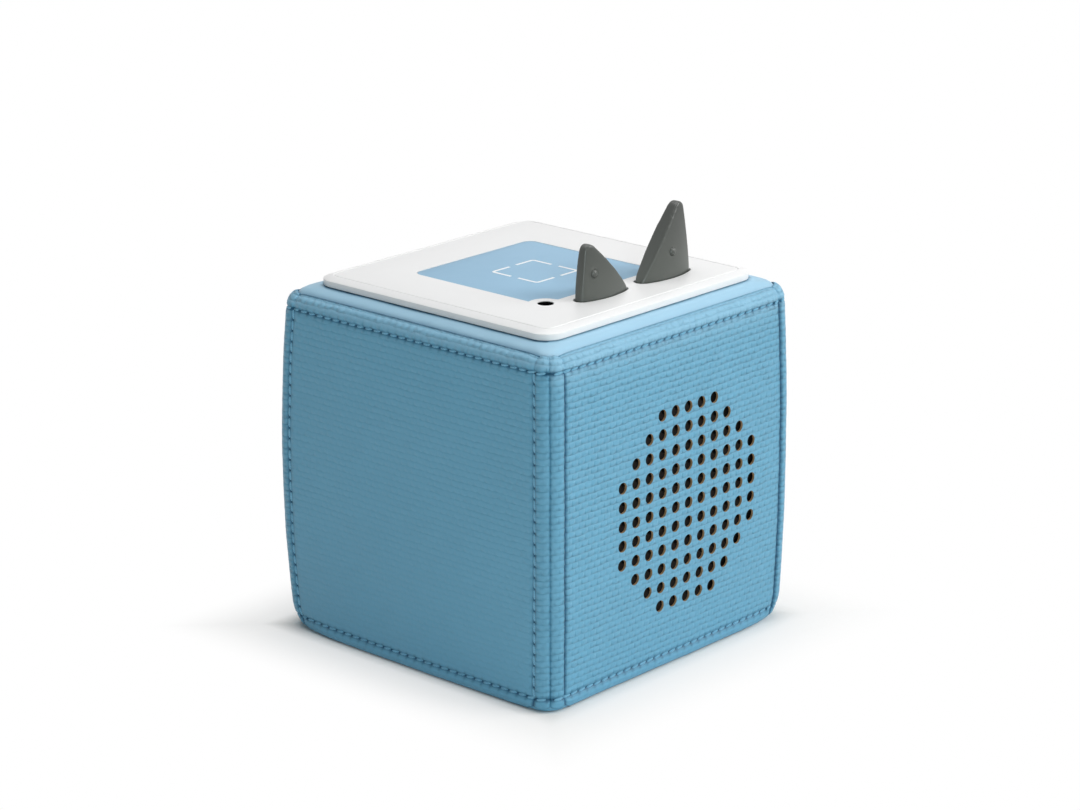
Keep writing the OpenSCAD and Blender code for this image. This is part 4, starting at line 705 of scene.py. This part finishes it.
def mark_cloth(obj, cover, broad):
    """Writes, for the cloth's colour and relief, how much painted shade each vertex gets in a seam or a
    stitch line, how much of the weave shows there and how much painted sheen pales it near the top
    roll. The broad sides, front and rear, show all of the weave, get less painted shade at the top seam
    and more painted sheen near the top roll, as they are lit more."""
    # Per side: the strength of the top seam's painted shade, and of the painted sheen above and below the top
    # stitch line; the broad sides are lit more.
    if broad:
        face_weave, seam, pale, below, start = 1.0, 0.4, 0.42, 0.42, 0.0
    else:
        face_weave, seam, pale, below, start = 0.35, 0.75, 0.36, 0.0, 0.0010
    mesh = obj.data
    layer = mesh.uv_layers.active.data
    spots = {}
    for face in mesh.polygons:
        if face.material_index == 0:
            for loop in face.loop_indices:
                spots[mesh.loops[loop].vertex_index] = layer[loop].uv[:]
    crease_shades, weaves, sheen_shares = [], [], []
    for vertex in mesh.vertices:
        s, climb = (part * UV_SPAN for part in spots.get(vertex.index, (0.0, 0.6)))
        z = cloth_profile(cover, seam_climb(cover, s, climb))[1]
        hole = needle_hole(cover, s, True)
        level = min(abs(z - cover.top_stitch), abs(z - cover.low_stitch))
        # Painted shade at the corner seam, along the level stitch lines, at the top seam and at the lower
        # edge.
        deep = [0.22 * dip(seam_reach(cover) - abs(s), 0.0004),
                (0.85 + 0.15 * hole) * dip(level, 0.0006 + 0.0004 * hole),
                seam * dip(climb - cloth_top(cover), 0.0007), 0.6 * dip(climb, 0.0007)]
        # Painted shade along the upright stitch lines.
        if cover.low_stitch < z < cover.top_stitch or climb < 0.01:
            hole = needle_hole(cover, z, False)
            deep.append(dip(abs(abs(s) - cover.side_stitch), 0.0006 + 0.0003 * hole))
        crease_shades.append(min(1, max(deep)))
        if z < cover.low_stitch:
            weaves.append(0.3)
        elif abs(s) > cover.side_stitch or z > cover.top_stitch:
            weaves.append(0.9)
        else:
            weaves.append(face_weave * (0.75 + 0.4 * z / COVER_TOP))
        # Painted sheen: paler over the top roll, and on the broad sides fading down below the top stitch
        # line.
        past = z - cover.top_stitch - start
        sheen_shares.append(pale * min(1.0, past / 0.001) if past > 0 else below * math.exp(past / 0.003))
    mark(obj, "crease", crease_shades)
    mark(obj, "weave", weaves)
    mark(obj, "stretch", sheen_shares)


def hole_punch():
    """Round rods through the front at all speaker holes, a square grid in a circle, as one mesh."""
    count = range(-int(FIELD_REACH / HOLE_PITCH), int(FIELD_REACH / HOLE_PITCH) + 1)
    spots = [FIELD_MIDDLE + Vector((i, j)) * HOLE_PITCH for i in count for j in count
             if math.hypot(i, j) * HOLE_PITCH <= FIELD_REACH]
    punch = rod("punch", HOLE_RADIUS, 0, 0, -0.068, -0.054, 28)
    rods = [copied("rod", punch.data, Matrix.Translation((spot.x, 0, spot.y))) for spot in spots]
    bpy.data.objects.remove(punch, do_unlink=True)
    return joined(rods)


class PLAYER_OT_cover(bpy.types.Operator):
    """Sews the four side panels of the padded cover"""
    bl_idname = "player.cover"
    bl_label = "Side panels"

    def execute(self, context):
        cover = context.scene.player_cover
        # The cloth's face, and the edge that the speaker holes lay bare.
        cloth = coated_cloth("Polyester, basket weave, coated", cover)
        edge = speckled("Cut cloth and foam, bonded", cover.cut_edge, 0.85, 1500, 0.0003, 0.4, 0.6)
        reach, top = seam_reach(cover), cloth_top(cover)
        # Four columns and rows to a stitch, so that the cloth can dip at every needle hole.
        count, low, high = stitch_spots(cover, True)
        quarter = (high - low) / count / 4
        across = spread(-reach, reach, (-reach, -cover.side_stitch, cover.side_stitch, reach),
                        [low + i * quarter for i in range(4 * count + 1)])
        count, low, high = stitch_spots(cover, False)
        low, high = cloth_climb(cover, low), cloth_climb(cover, high)
        quarter = (high - low) / count / 4
        up = spread(-TUCK, top + TUCK, (low, high, top),
                    [low + i * quarter for i in range(-6, 4 * count + 10)])
        jack = middle_of("headphone_jack")
        for number, side in enumerate(SIDES):
            turn = number * math.pi / 2
            piece = woven_sheet("cover_" + side, across, up,
                                lambda s, climb: cloth_place(cover, turn, s, climb))
            clean(piece, 0.000001)
            modify(piece, "SOLIDIFY", thickness=cover.thick, offset=-1)
            piece.data.materials.append(cloth)
            piece.data.materials.append(edge)
            if side == "front":
                punch = hole_punch()
                punch.data.materials.append(cloth)
                punch.data.materials.append(edge)
                for face in punch.data.polygons:
                    face.material_index = 1
                combine(piece, punch)
            if side == "rear":
                combine(piece, rod("jack_hole", 0.0043, jack.x, jack.z, 0.048, 0.068))
            mark_cloth(piece, cover, side in ("front", "rear"))
            smooth(piece, 50)
            finish_piece(piece, "blue_fabric", side + "_panel")
        return {"FINISHED"}


def padded_ring(name, cover, rows, cloth, crease):
    """A closed padded ring round the cube. Each row gives its half width and height in mm, on the
    straight sides and then at the corners, and its corner radius."""
    count = 4 * 96
    steps = [i / count for i in range(count + 1)]

    def place(t, row):
        half, z, half_corner, z_corner, radius = rows[row % len(rows)]
        corner = corner_of_turn(t)
        half, z = half + (half_corner - half) * corner, z + (z_corner - z) * corner
        point = rounded_square_point(t, half * MM, radius * MM)
        # Slow unevenness, and short wrinkles where the border meets the seam.
        swell = 0.00012 * noise.noise(Vector((point.x / 0.012, point.y / 0.012, z / 2)))
        drawn = max(0.0, 1 - abs(z - 117.0) / 1.6)
        swell += 0.00030 * drawn * noise.noise(Vector((point.x / 0.0032, point.y / 0.0032, z / 5)))
        point.z = z * MM + swell
        if abs(point.x) > max(0.05, abs(point.y)):
            point.x += math.copysign(sag_at(cover, abs(point.y), point.z), point.x)
        return rounded_off(point)

    piece = woven_sheet(name, steps, list(range(len(rows) + 1)), place)
    clean(piece, 0.00002)
    modify(piece, "SUBSURF", levels=1, render_levels=1)
    mark(piece, "crease", [crease(vertex.co) for vertex in piece.data.vertices])
    piece.data.materials.append(cloth)
    smooth(piece, 60)
    return piece


def corner_of_turn(t):
    """How near a share of the way round is to a corner: 1 at its middle, 0 past a tenth of a side."""
    return eased(max(1 - abs(t * 4 % 1 - middle) / 0.12 for middle in (0.955, -0.045)))


def plate_gap(point):
    """How far outside the plate's outline a point is, in plan."""
    top = bpy.context.scene.player_top
    inner = (PLATE_HIGH[0] - PLATE_LOW[0]) / 2 - top.corner
    return math.hypot(max(0.0, abs(point.x) - inner), max(0.0, abs(point.y) - inner)) - top.corner


class PLAYER_OT_border(bpy.types.Operator):
    """Pads the smooth border between the top seam and the plate"""
    bl_idname = "player.border"
    bl_label = "Top border"

    def execute(self, context):
        cover = context.scene.player_cover
        # From the seam over the pad and down inside the plate's skirt.
        section = ((56.9, 114.9, 4.4), (57.0, 115.4, 4.4), (56.9, 116.1, 4.4), (56.4, 116.95, 4.4),
                   (55.6, 117.7, 4.6), (54.5, 118.3, 5.0), (53.2, 118.7, 5.6), (52.2, 118.88, 6.2),
                   (51.4, 118.95, 6.6), (50.4, 118.98, 6.6), (48.6, 118.98, 6.4), (46.8, 118.9, 6.0),
                   (46.6, 118.4, 6.0), (46.6, 114.9, 6.0))
        # The pale colour is partly painted sheen on the border's upturned faces.
        cloth = smooth_cloth("Smooth coated polyester, pale blue", cover.border, cover.crease)

        # Painted shadow in a dark line along the plate's edge, and painted shade at the top seam; both are
        # stronger on the left and right sides, which lie in shade.
        def crease(point):
            seam, rim = (0.35, 0.4) if abs(point.y) > abs(point.x) else (0.7, 0.95)
            deep = rim * dip(plate_gap(point), 0.0008) * dip(point.z - 0.119, 0.001)
            if max(abs(point.x), abs(point.y)) > 0.053:
                deep = max(deep, seam * dip(point.z - 0.1152, 0.0014))
            return deep

        rows = [(half, z, half, z, radius) for half, z, radius in section]
        piece = padded_ring("top_border_pad", cover, rows, cloth, crease)
        finish_piece(piece, "pale_blue_fabric", "top_border")
        return {"FINISHED"}


class PLAYER_OT_underside(bpy.types.Operator):
    """Pads the smooth border of the underside, which rolls up over the corners"""
    bl_idname = "player.underside"
    bl_label = "Underside border"

    def execute(self, context):
        cover = context.scene.player_cover
        rows = ((56.2, 1.9, 56.6, 2.6, 6.0), (57.6, 1.5, 58.2, 2.9, 6.4), (58.5, 1.1, 59.3, 2.5, 6.8),
                (58.8, 0.7, 59.8, 1.7, 7.0), (58.5, 0.3, 59.7, 0.9, 7.0), (57.8, 0.08, 59.0, 0.3, 6.8),
                (56.2, 0.04, 57.6, 0.04, 6.6), (53.0, 0.12, 54.0, 0.12, 6.0), (50.2, 0.32, 50.2, 0.32, 5.4),
                (48.8, 0.6, 48.8, 0.6, 5.2), (48.6, 1.2, 48.6, 1.2, 5.2), (48.6, 1.9, 48.6, 1.9, 5.2))
        cloth = smooth_cloth("Smooth coated polyester, blue", cover.cloth, cover.crease)
        # Painted shade along the seam at the top of this border.
        piece = padded_ring("underside_pad", cover, rows, cloth,
                            lambda point: 0.5 * dip(point.z - 0.0029, 0.0006))
        finish_piece(piece, "blue_fabric", "underside_border")
        return {"FINISHED"}


def rounded_square_point(t, half, radius):
    """The point at a share t of the way round a rounded square."""
    straight = 2 * (half - radius)
    number, along = divmod(t % 1.0 * 4, 1)
    along *= straight + radius * math.pi / 2
    if along < straight:
        point = Vector((-half + radius + along, -half, 0))
    else:
        angle = (along - straight) / radius
        inner = half - radius
        point = Vector((inner + radius * math.sin(angle), -inner - radius * math.cos(angle), 0))
    return Matrix.Rotation(number * math.pi / 2, 3, "Z") @ point


# ------------------------------------------------------------------ stitches


class PLAYER_OT_stitches(bpy.types.Operator):
    """Lays the raised stitches along the stitch lines of the side panels"""
    bl_idname = "player.stitches"
    bl_label = "Stitches"

    def execute(self, context):
        cover = context.scene.player_cover
        thread = thread_material(cover)
        bead = primitive("uv_sphere", "stitch", segments=8, ring_count=6, radius=1,
                         rotation=(0, math.pi / 2, 0))
        bead.data.transform(Matrix.Diagonal(STITCH + (1.0,)))
        spots = []
        for z in (cover.low_stitch, cover.top_stitch):
            count, low, high = stitch_spots(cover, True)
            climb = cloth_climb(cover, z)
            spots += [(low + (i + 0.5) * (high - low) / count, climb, True) for i in range(count)]
        for s in (-cover.side_stitch, cover.side_stitch):
            count, low, high = stitch_spots(cover, False)
            start, end = cloth_climb(cover, low), cloth_climb(cover, high)
            spots += [(s, start + (i + 0.5) * (end - start) / count, False) for i in range(count)]
        for number, side in enumerate(SIDES):
            copies = []
            for s, climb, level in spots:
                sunk = 0.00098 if side in ("front", "rear") and not level else 0.0001
                spot = self.laid(cover, number * math.pi / 2, s, climb, level, 0.00022 - sunk)
                copies.append(copied("stitch", bead.data, spot))
            piece = named(joined(copies), "stitches_" + side)
            piece.data.materials.append(thread)
            smooth(piece, 60)
            finish_piece(piece, "blue_fabric")
        bpy.data.objects.remove(bead, do_unlink=True)
        return {"FINISHED"}

    def laid(self, cover, turn, s, climb, level, height):
        """Where a stitch lies: along its line, at a height over the cloth, and turned a little."""
        def place(ahead, beside):
            one, two = (ahead, beside) if level else (-beside, ahead)
            return cloth_place(cover, turn, s + one, climb + two)

        step, across = 0.0008, 0.002
        ahead = (place(step, 0) - place(-step, 0)).normalized()
        beside = place(0, across) - place(0, -across)
        outward = ahead.cross(beside).normalized()
        beside = outward.cross(ahead).normalized()
        slant = math.radians(9)
        basis = Matrix((ahead * math.cos(slant) + beside * math.sin(slant),
                        beside * math.cos(slant) - ahead * math.sin(slant), outward)).transposed().to_4x4()
        return Matrix.Translation(place(0, 0) + outward * height) @ basis


# ----------------------------------------------------- plate, pad and light


def outline_block(name, points, low, high):
    """A block with the given outline in plan: a filled face, extruded upwards."""
    block = primitive("circle", name, vertices=len(points), radius=0.01, fill_type="NGON")
    for vertex, point in zip(block.data.vertices, points):
        vertex.co = (point[0], point[1], low)
    open_mesh(block)
    bpy.ops.mesh.select_all(action="SELECT")
    bpy.ops.mesh.extrude_region_move(TRANSFORM_OT_translate={"value": (0, 0, high - low)})
    bpy.ops.mesh.select_all(action="SELECT")
    bpy.ops.mesh.normals_make_consistent(inside=False)
    close_mesh()
    return block


def cross_outline(node, height, grow):
    """The outline of a CAD node's cut at a height, which bulges everywhere, grown a little."""
    mesh = bmesh.new()
    mesh.from_mesh(NODES[node].data)
    bmesh.ops.remove_doubles(mesh, verts=mesh.verts, dist=0.000002)
    result = bmesh.ops.bisect_plane(mesh, geom=mesh.verts[:] + mesh.edges[:] + mesh.faces[:],
                                    plane_co=(0, 0, height), plane_no=(0, 0, 1))
    spots = [item.co.xy for item in result["geom_cut"] if isinstance(item, bmesh.types.BMVert)]
    mesh.free()
    ring = [spots[i] for i in geometry.convex_hull_2d(spots)]
    ring = [spot for spot, after in zip(ring, ring[1:] + ring[:1]) if (after - spot).length > 0.00005]
    grown = []
    for before, spot, after in zip(ring[-1:] + ring[:-1], ring, ring[1:] + ring[:1]):
        way = (after - before).normalized()
        grown.append((spot.x + way.y * grow, spot.y - way.x * grow))
    return grown


def pad_outline(shrink):
    """The pad's outline: a rounded square with one corner drawn in round the light."""
    corner, steps, arc_steps = 0.0035, 240, 16
    middle, light = middle_of("placement_pad").xy, middle_of("light_lens").xy
    half = (PAD_HIGH[0] - PAD_LOW[0]) / 2 - shrink
    halo = 0.0059 + shrink
    points = [rounded_square_point(i / steps, half, corner).xy + middle for i in range(steps)]
    points = [spot for spot in points if (spot - light).length >= halo]
    # The arc round the light, walked from the last point before it to the first after it.
    start = max(range(len(points)), key=lambda i: (points[i] - points[i - 1]).length)
    ring = points[start:] + points[:start]
    end_angle, start_angle = (math.atan2(*(spot - light).yx) for spot in (ring[0], ring[-1]))
    if start_angle - end_angle > math.pi:
        start_angle -= 2 * math.pi
    if end_angle - start_angle > math.pi:
        end_angle -= 2 * math.pi
    for i in range(1, arc_steps):
        angle = start_angle + (end_angle - start_angle) * i / arc_steps
        ring.append(light + halo * Vector((math.cos(angle), math.sin(angle))))
    return ring


def extrude(height):
    """Draws the selected faces out along Z."""
    bpy.ops.mesh.extrude_region_move(TRANSFORM_OT_translate={"value": (0, 0, height)})


class PLAYER_OT_plate(bpy.types.Operator):
    """Moulds the bevelled top plate with its recess, its slots and the hole for the light"""
    bl_idname = "player.plate"
    bl_label = "Top plate"

    def execute(self, context):
        top = context.scene.player_top
        width = PLATE_HIGH[0] - PLATE_LOW[0]
        crest = PLATE_HIGH[2]
        wall = 0.002
        plate = primitive("cube", "plate_shell", size=1, location=(0, 0, crest - top.bevel_high - wall / 2),
                          scale=(width, width, wall))
        select(plate, "EDGE", lambda edge: abs(edge.verts[0].co.z - edge.verts[1].co.z) > 0.001)
        bpy.ops.mesh.bevel(offset=top.corner, segments=14, affect="EDGES")
        close_mesh()
        # The bevel, then the thin groove that draws a line at its inner edge.
        select(plate, "FACE", lambda face: face.normal.z > 0.9)
        bpy.ops.mesh.inset(thickness=top.bevel, depth=top.bevel_high)
        bpy.ops.mesh.inset(thickness=0.00026, depth=-0.00045)
        bpy.ops.mesh.inset(thickness=0.00026, depth=0.00045)
        close_mesh()
        # The skirt under the plate; both insets together stay below the corner's radius.
        select(plate, "FACE", lambda face: face.normal.z < -0.9)
        for inset, height in ((0.0052, -0.0038), (0.001, 0.0046)):
            bpy.ops.mesh.inset(thickness=inset, depth=0)
            extrude(height)
        close_mesh()
        clean(plate)
        modify(plate, "BEVEL", width=top.edge, segments=3, limit_method="ANGLE", angle_limit=math.radians(50))
        combine(plate, outline_block("pad_cut", pad_outline(-0.00012), crest - 0.0008, crest + 0.003))
        for ear in ("small_ear", "large_ear"):
            combine(plate, outline_block("slot_cut", cross_outline(ear, crest - 0.0006, 0.00062),
                                         crest - 0.006, crest + 0.003))
        light = middle_of("light_lens")
        combine(plate, primitive("cylinder", "light_cut", vertices=48, radius=0.0027, depth=0.01,
                                 location=(light.x, light.y, crest)))
        plate.data.materials.append(speckled("ABS, moulded, satin white, plate", top.plate, 0.36, 4000,
                                             0.00002, 0.015, 0.12))
        smooth(plate, 25)
        finish_piece(plate, "white_plastic", "top_plate")
        return {"FINISHED"}


class PLAYER_OT_pad(bpy.types.Operator):
    """Makes the soft pad with its printed marker"""
    bl_idname = "player.pad"
    bl_label = "Placement pad"

    def execute(self, context):
        top = context.scene.player_top
        crest = PAD_HIGH[2]
        pad = outline_block("soft_pad", pad_outline(0.0), crest - 0.0008, crest - 0.00004)
        modify(pad, "BEVEL", width=0.00018, segments=2, limit_method="ANGLE", angle_limit=math.radians(40))
        # Silicone, moulded: matt, with pinprick grain of 0.4 mm.
        pad.data.materials.append(speckled("Silicone, moulded, matt, pale blue", top.pad, 0.62, 2500,
                                           0.00003, 0.05, 0.15))
        smooth(pad, 25)
        finish_piece(pad, "pad_rubber", "placement_pad")
        return {"FINISHED"}


class PLAYER_OT_lens(bpy.types.Operator):
    """Turns the small domed lens of the status light"""
    bl_idname = "player.lens"
    bl_label = "Light lens"

    def execute(self, context):
        top = context.scene.player_top
        light = middle_of("light_lens")
        lens = primitive("cylinder", "smoked_window", vertices=48, radius=0.0026, depth=0.0024,
                         location=(light.x, light.y, PLATE_HIGH[2] - 0.0014))
        select(lens, "FACE", lambda face: face.normal.z > 0.9)
        for thickness, depth in ((0.0003, 0.00012), (0.0006, 0.00008), (0.0008, 0.00003)):
            bpy.ops.mesh.inset(thickness=thickness, depth=depth)
        close_mesh()
        select(lens, "FACE", lambda face: face.normal.z < -0.9)
        extrude(-0.0002)
        bpy.ops.transform.resize(value=(1.2, 1.2, 1), center_override=(light.x, light.y, 0))
        close_mesh()
        # Polycarbonate, smoked, with a fine blasted face: near black from any side.
        lens.data.materials.append(speckled("Polycarbonate, smoked, lens", top.lens, 0.5, 3000, 0.000004,
                                            0.0, 0.02, Specular_IOR_Level=0.0))
        smooth(lens, 30)
        finish_piece(lens, "smoked_lens", "light_lens")
        return {"FINISHED"}


# ----------------------------------------------------------------------- ears


class PLAYER_OT_ears(bpy.types.Operator):
    """Rounds the two rubber ears and their nubs"""
    bl_idname = "player.ears"
    bl_label = "Ears"

    def execute(self, context):
        top = context.scene.player_top
        rubber = ear_rubber(top)
        for make, ending, body in ((self.skin, "", ""), (self.nub, "_button", "_press")):
            for name in ("small_ear", "large_ear"):
                piece = make(name + ending, top)
                piece.data.materials.clear()
                piece.data.materials.append(rubber)
                finish_piece(piece, "ear_rubber", name + ending, body=name + body if body else ROOT)
        return {"FINISHED"}

    def skin(self, node, top):
        """The skin with all its edges rounded: the nub's hole is filled, the skin remeshed fine and
        smoothed, and the hole then cut again, close round the nub."""
        ear = copied(node + "_skin", NODES[node].data)
        clean(ear, 0.000002)
        middle = middle_of(node + "_button")
        middle.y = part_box(node + "_button")[0][1] - 0.01
        hits = []
        for x, z in ((1, 0), (-1, 0), (0, 1), (0, -1)):
            hit, spot, normal, index = ear.ray_cast(middle + Vector((x, 0, z)) * 0.0021, Vector((0, 1, 0)))
            hits.append(spot.y)
        face = sum(hits) / len(hits)
        plug = rod("plug", 0.00172, middle.x, middle.z, face - 0.00006, face + 0.0012)
        combine(ear, plug, "UNION")
        modify(ear, "REMESH", mode="VOXEL", voxel_size=0.00027)
        modify(ear, "SMOOTH", factor=0.5, iterations=max(1, round(top.ear_edge / 0.00008)))
        # The tip is rounded further than the rest.
        tip = ear.vertex_groups.new(name="tip")
        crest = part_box(node)[1][2]
        for vertex in ear.data.vertices:
            share = held((vertex.co.z - crest + 0.006) / 0.004)
            if share > 0:
                tip.add([vertex.index], share, "REPLACE")
        modify(ear, "SMOOTH", factor=0.5, iterations=20, vertex_group="tip")
        ear.vertex_groups.clear()
        combine(ear, rod("hole", 0.00151, middle.x, middle.z, face - 0.002, face + 0.0016))
        smooth(ear, 50)
        return ear

    def nub(self, node, top):
        """The nub, its collar and its stem, with the edges just broken."""
        nub = copied(node + "_nub", NODES[node].data)
        clean(nub, 0.000002)
        modify(nub, "REMESH", mode="VOXEL", voxel_size=0.00010)
        modify(nub, "SMOOTH", factor=0.5, iterations=3)
        smooth(nub, 80)
        return nub


class PLAYER_OT_finishes(bpy.types.Operator):
    """Gives every CAD node that still shows the finish of its slot"""
    bl_idname = "player.finishes"
    bl_label = "Finishes of the plain parts"

    def execute(self, context):
        made = slot_materials(context.scene.player_cover, context.scene.player_top)
        slots = {item["node"]: item["material_slot"] for item in frame["record"]["subparts"]}
        for name, obj in NODES.items():
            finish = made.get(slots[name])
            if finish is None:
                continue
            if not obj.material_slots:
                obj.data.materials.append(finish)
            for holder in obj.material_slots:
                holder.material = finish
        return {"FINISHED"}


# ---------------------------------------------------------------------- stage

# Each lamp's place in metres, the side of its square and its colour.
LAMPS = {
    "key": ((0.75, -1.05, 0.85), 0.9, (1.0, 1.0, 1.0)),
    "fill": ((-0.80, -0.92, 0.27), 0.35, (0.84, 1.0, 1.03)),
    "top": ((0.1, 0.15, 1.3), 1.1, (1.0, 1.0, 1.0)),
    "rim": ((1.0, -0.15, 0.95), 0.45, (1.0, 1.0, 1.0)),
    "accent": ((-0.44, -0.90, 0.69), 0.15, (1.0, 1.0, 1.0)),
}
CAMERA_PLACE = (-0.775262, -0.703329, 0.409829)
CAMERA_TURNS = (-47.843, 17.682, -0.113)  # round Z, down and about its own axis, in degrees


class PLAYER_OT_stage(bpy.types.Operator):
    """Sets the floor, the soft lamps and the camera"""
    bl_idname = "player.stage"
    bl_label = "Stage"

    def execute(self, context):
        stage = context.scene.player_stage
        self.camera(stage)
        self.floor(stage)
        for name, (place, size, colour) in LAMPS.items():
            self.lamp(name + "_lamp", place, size, getattr(stage, name), colour)
        self.world(stage)
        context.scene.view_settings.view_transform = "Standard"
        return {"FINISHED"}

    def seen(self, tree, *rays):
        """1 for the camera's rays, for reflections and for the other rays named, and else 0."""
        path = add(tree, "LightPath", out=None)
        share = path["Is Camera Ray"]
        for ray in ("Is Glossy Ray",) + rays:
            share = add(tree, "Math", (share, path[ray]), operation="MAXIMUM")
        return share

    def world(self, stage):
        """Even light all round, plain white to the camera, to reflections and through glass."""
        world = bpy.data.worlds.new("Studio")
        bpy.context.scene.world = world
        world.use_nodes = True
        tree = world.node_tree
        even = tree.nodes["Background"]
        even.inputs["Strength"].default_value = stage.ambient
        white = add(tree, "Background", (stage.floor, 1.0))
        mix = add(tree, "MixShader", (self.seen(tree, "Is Transmission Ray"), even.outputs[0], white))
        join(tree, tree.nodes["World Output"], {"Surface": mix})

    def camera(self, stage):
        """A camera where the photograph was taken from, fitted to its corners and seams."""
        data = bpy.data.cameras.new("camera")
        data.lens = stage.lens
        data.sensor_width = 36
        data.sensor_fit = "HORIZONTAL"
        data.clip_start = 0.01
        camera = bpy.data.objects.new("camera", data)
        bpy.context.collection.objects.link(camera)
        turn, tilt, roll = (math.radians(angle) for angle in CAMERA_TURNS)
        back = Vector((math.sin(turn) * math.cos(tilt), -math.cos(turn) * math.cos(tilt), math.sin(tilt)))
        right = Vector((math.cos(turn), math.sin(turn), 0))
        up = back.cross(right)
        basis = Matrix((right * math.cos(roll) + up * math.sin(roll),
                        up * math.cos(roll) - right * math.sin(roll), back)).transposed().to_4x4()
        camera.matrix_world = Matrix.Translation(CAMERA_PLACE) @ basis
        bpy.context.scene.camera = camera

    def floor(self, stage):
        """White paper that keeps the object's soft shadow and a darker line where it stands, and fades
        to plain white."""
        floor = primitive("plane", "floor", size=8)
        made, tree, shader = material("Paper sweep, white", linear("#FFFCF8"), 0.9, Specular_IOR_Level=0.1)
        place = add(tree, "SeparateXYZ", (add(tree, "TexCoord", out="Object"),), None)
        far = [add(tree, "Math", (place[i],), operation="ABSOLUTE") for i in (0, 1)]
        reach = add(tree, "Math", far, operation="MAXIMUM")
        share = add(tree, "MapRange", (reach, 0.060, 0.094, 0.52, 1.0), interpolation_type="SMOOTHSTEP")
        for other in (add(tree, "MapRange", (reach, 0.0600, 0.0660, 0.0, 1.0)), self.seen(tree)):
            share = add(tree, "Math", (share, other), operation="MULTIPLY")
        glow = add(tree, "Emission", (stage.floor, 1.0))
        mix = add(tree, "MixShader", (share, shader.outputs[0], glow))
        join(tree, tree.nodes["Material Output"], {"Surface": mix})
        floor.data.materials.append(made)

    def lamp(self, name, place, size, power, colour):
        """A square lamp that faces the object."""
        data = bpy.data.lights.new(name, "AREA")
        data.size = size
        data.energy = power
        data.color = colour
        lamp = bpy.data.objects.new(name, data)
        bpy.context.collection.objects.link(lamp)
        lamp.location = place
        lamp.rotation_euler = (Vector((0, 0, 0.06)) - Vector(place)).to_track_quat("-Z", "Y").to_euler()


# --------------------------------------------------------------------- add-on

OPERATORS = (PLAYER_OT_stage, PLAYER_OT_finishes, PLAYER_OT_cover, PLAYER_OT_border, PLAYER_OT_underside,
             PLAYER_OT_stitches, PLAYER_OT_plate, PLAYER_OT_pad, PLAYER_OT_lens, PLAYER_OT_ears)
GROUPS = {"player_cover": CoverSettings, "player_top": TopSettings, "player_stage": StageSettings}


class PLAYER_PT_panel(bpy.types.Panel):
    """Lists the player's pieces and their settings"""
    bl_label = "Story Player"
    bl_space_type = "VIEW_3D"
    bl_region_type = "UI"
    bl_category = "Story Player"

    def draw(self, context):
        for name in GROUPS:
            group = getattr(context.scene, name)
            box = self.layout.box()
            for key in group.bl_rna.properties.keys():
                if key not in ("rna_type", "name"):
                    box.prop(group, key)
        for operator in OPERATORS:
            self.layout.operator(operator.bl_idname)


CLASSES = tuple(GROUPS.values()) + OPERATORS + (PLAYER_PT_panel,)


def register():
    for item in CLASSES:
        bpy.utils.register_class(item)
    for name, group in GROUPS.items():
        setattr(bpy.types.Scene, name, bpy.props.PointerProperty(type=group))


def unregister():
    for name in GROUPS:
        delattr(bpy.types.Scene, name)
    for item in reversed(CLASSES):
        bpy.utils.unregister_class(item)


def main():
    register()
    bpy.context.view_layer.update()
    for operator in OPERATORS:
        group, name = operator.bl_idname.split(".")
        getattr(getattr(bpy.ops, group), name)()


if __name__ == "__main__":
    main()
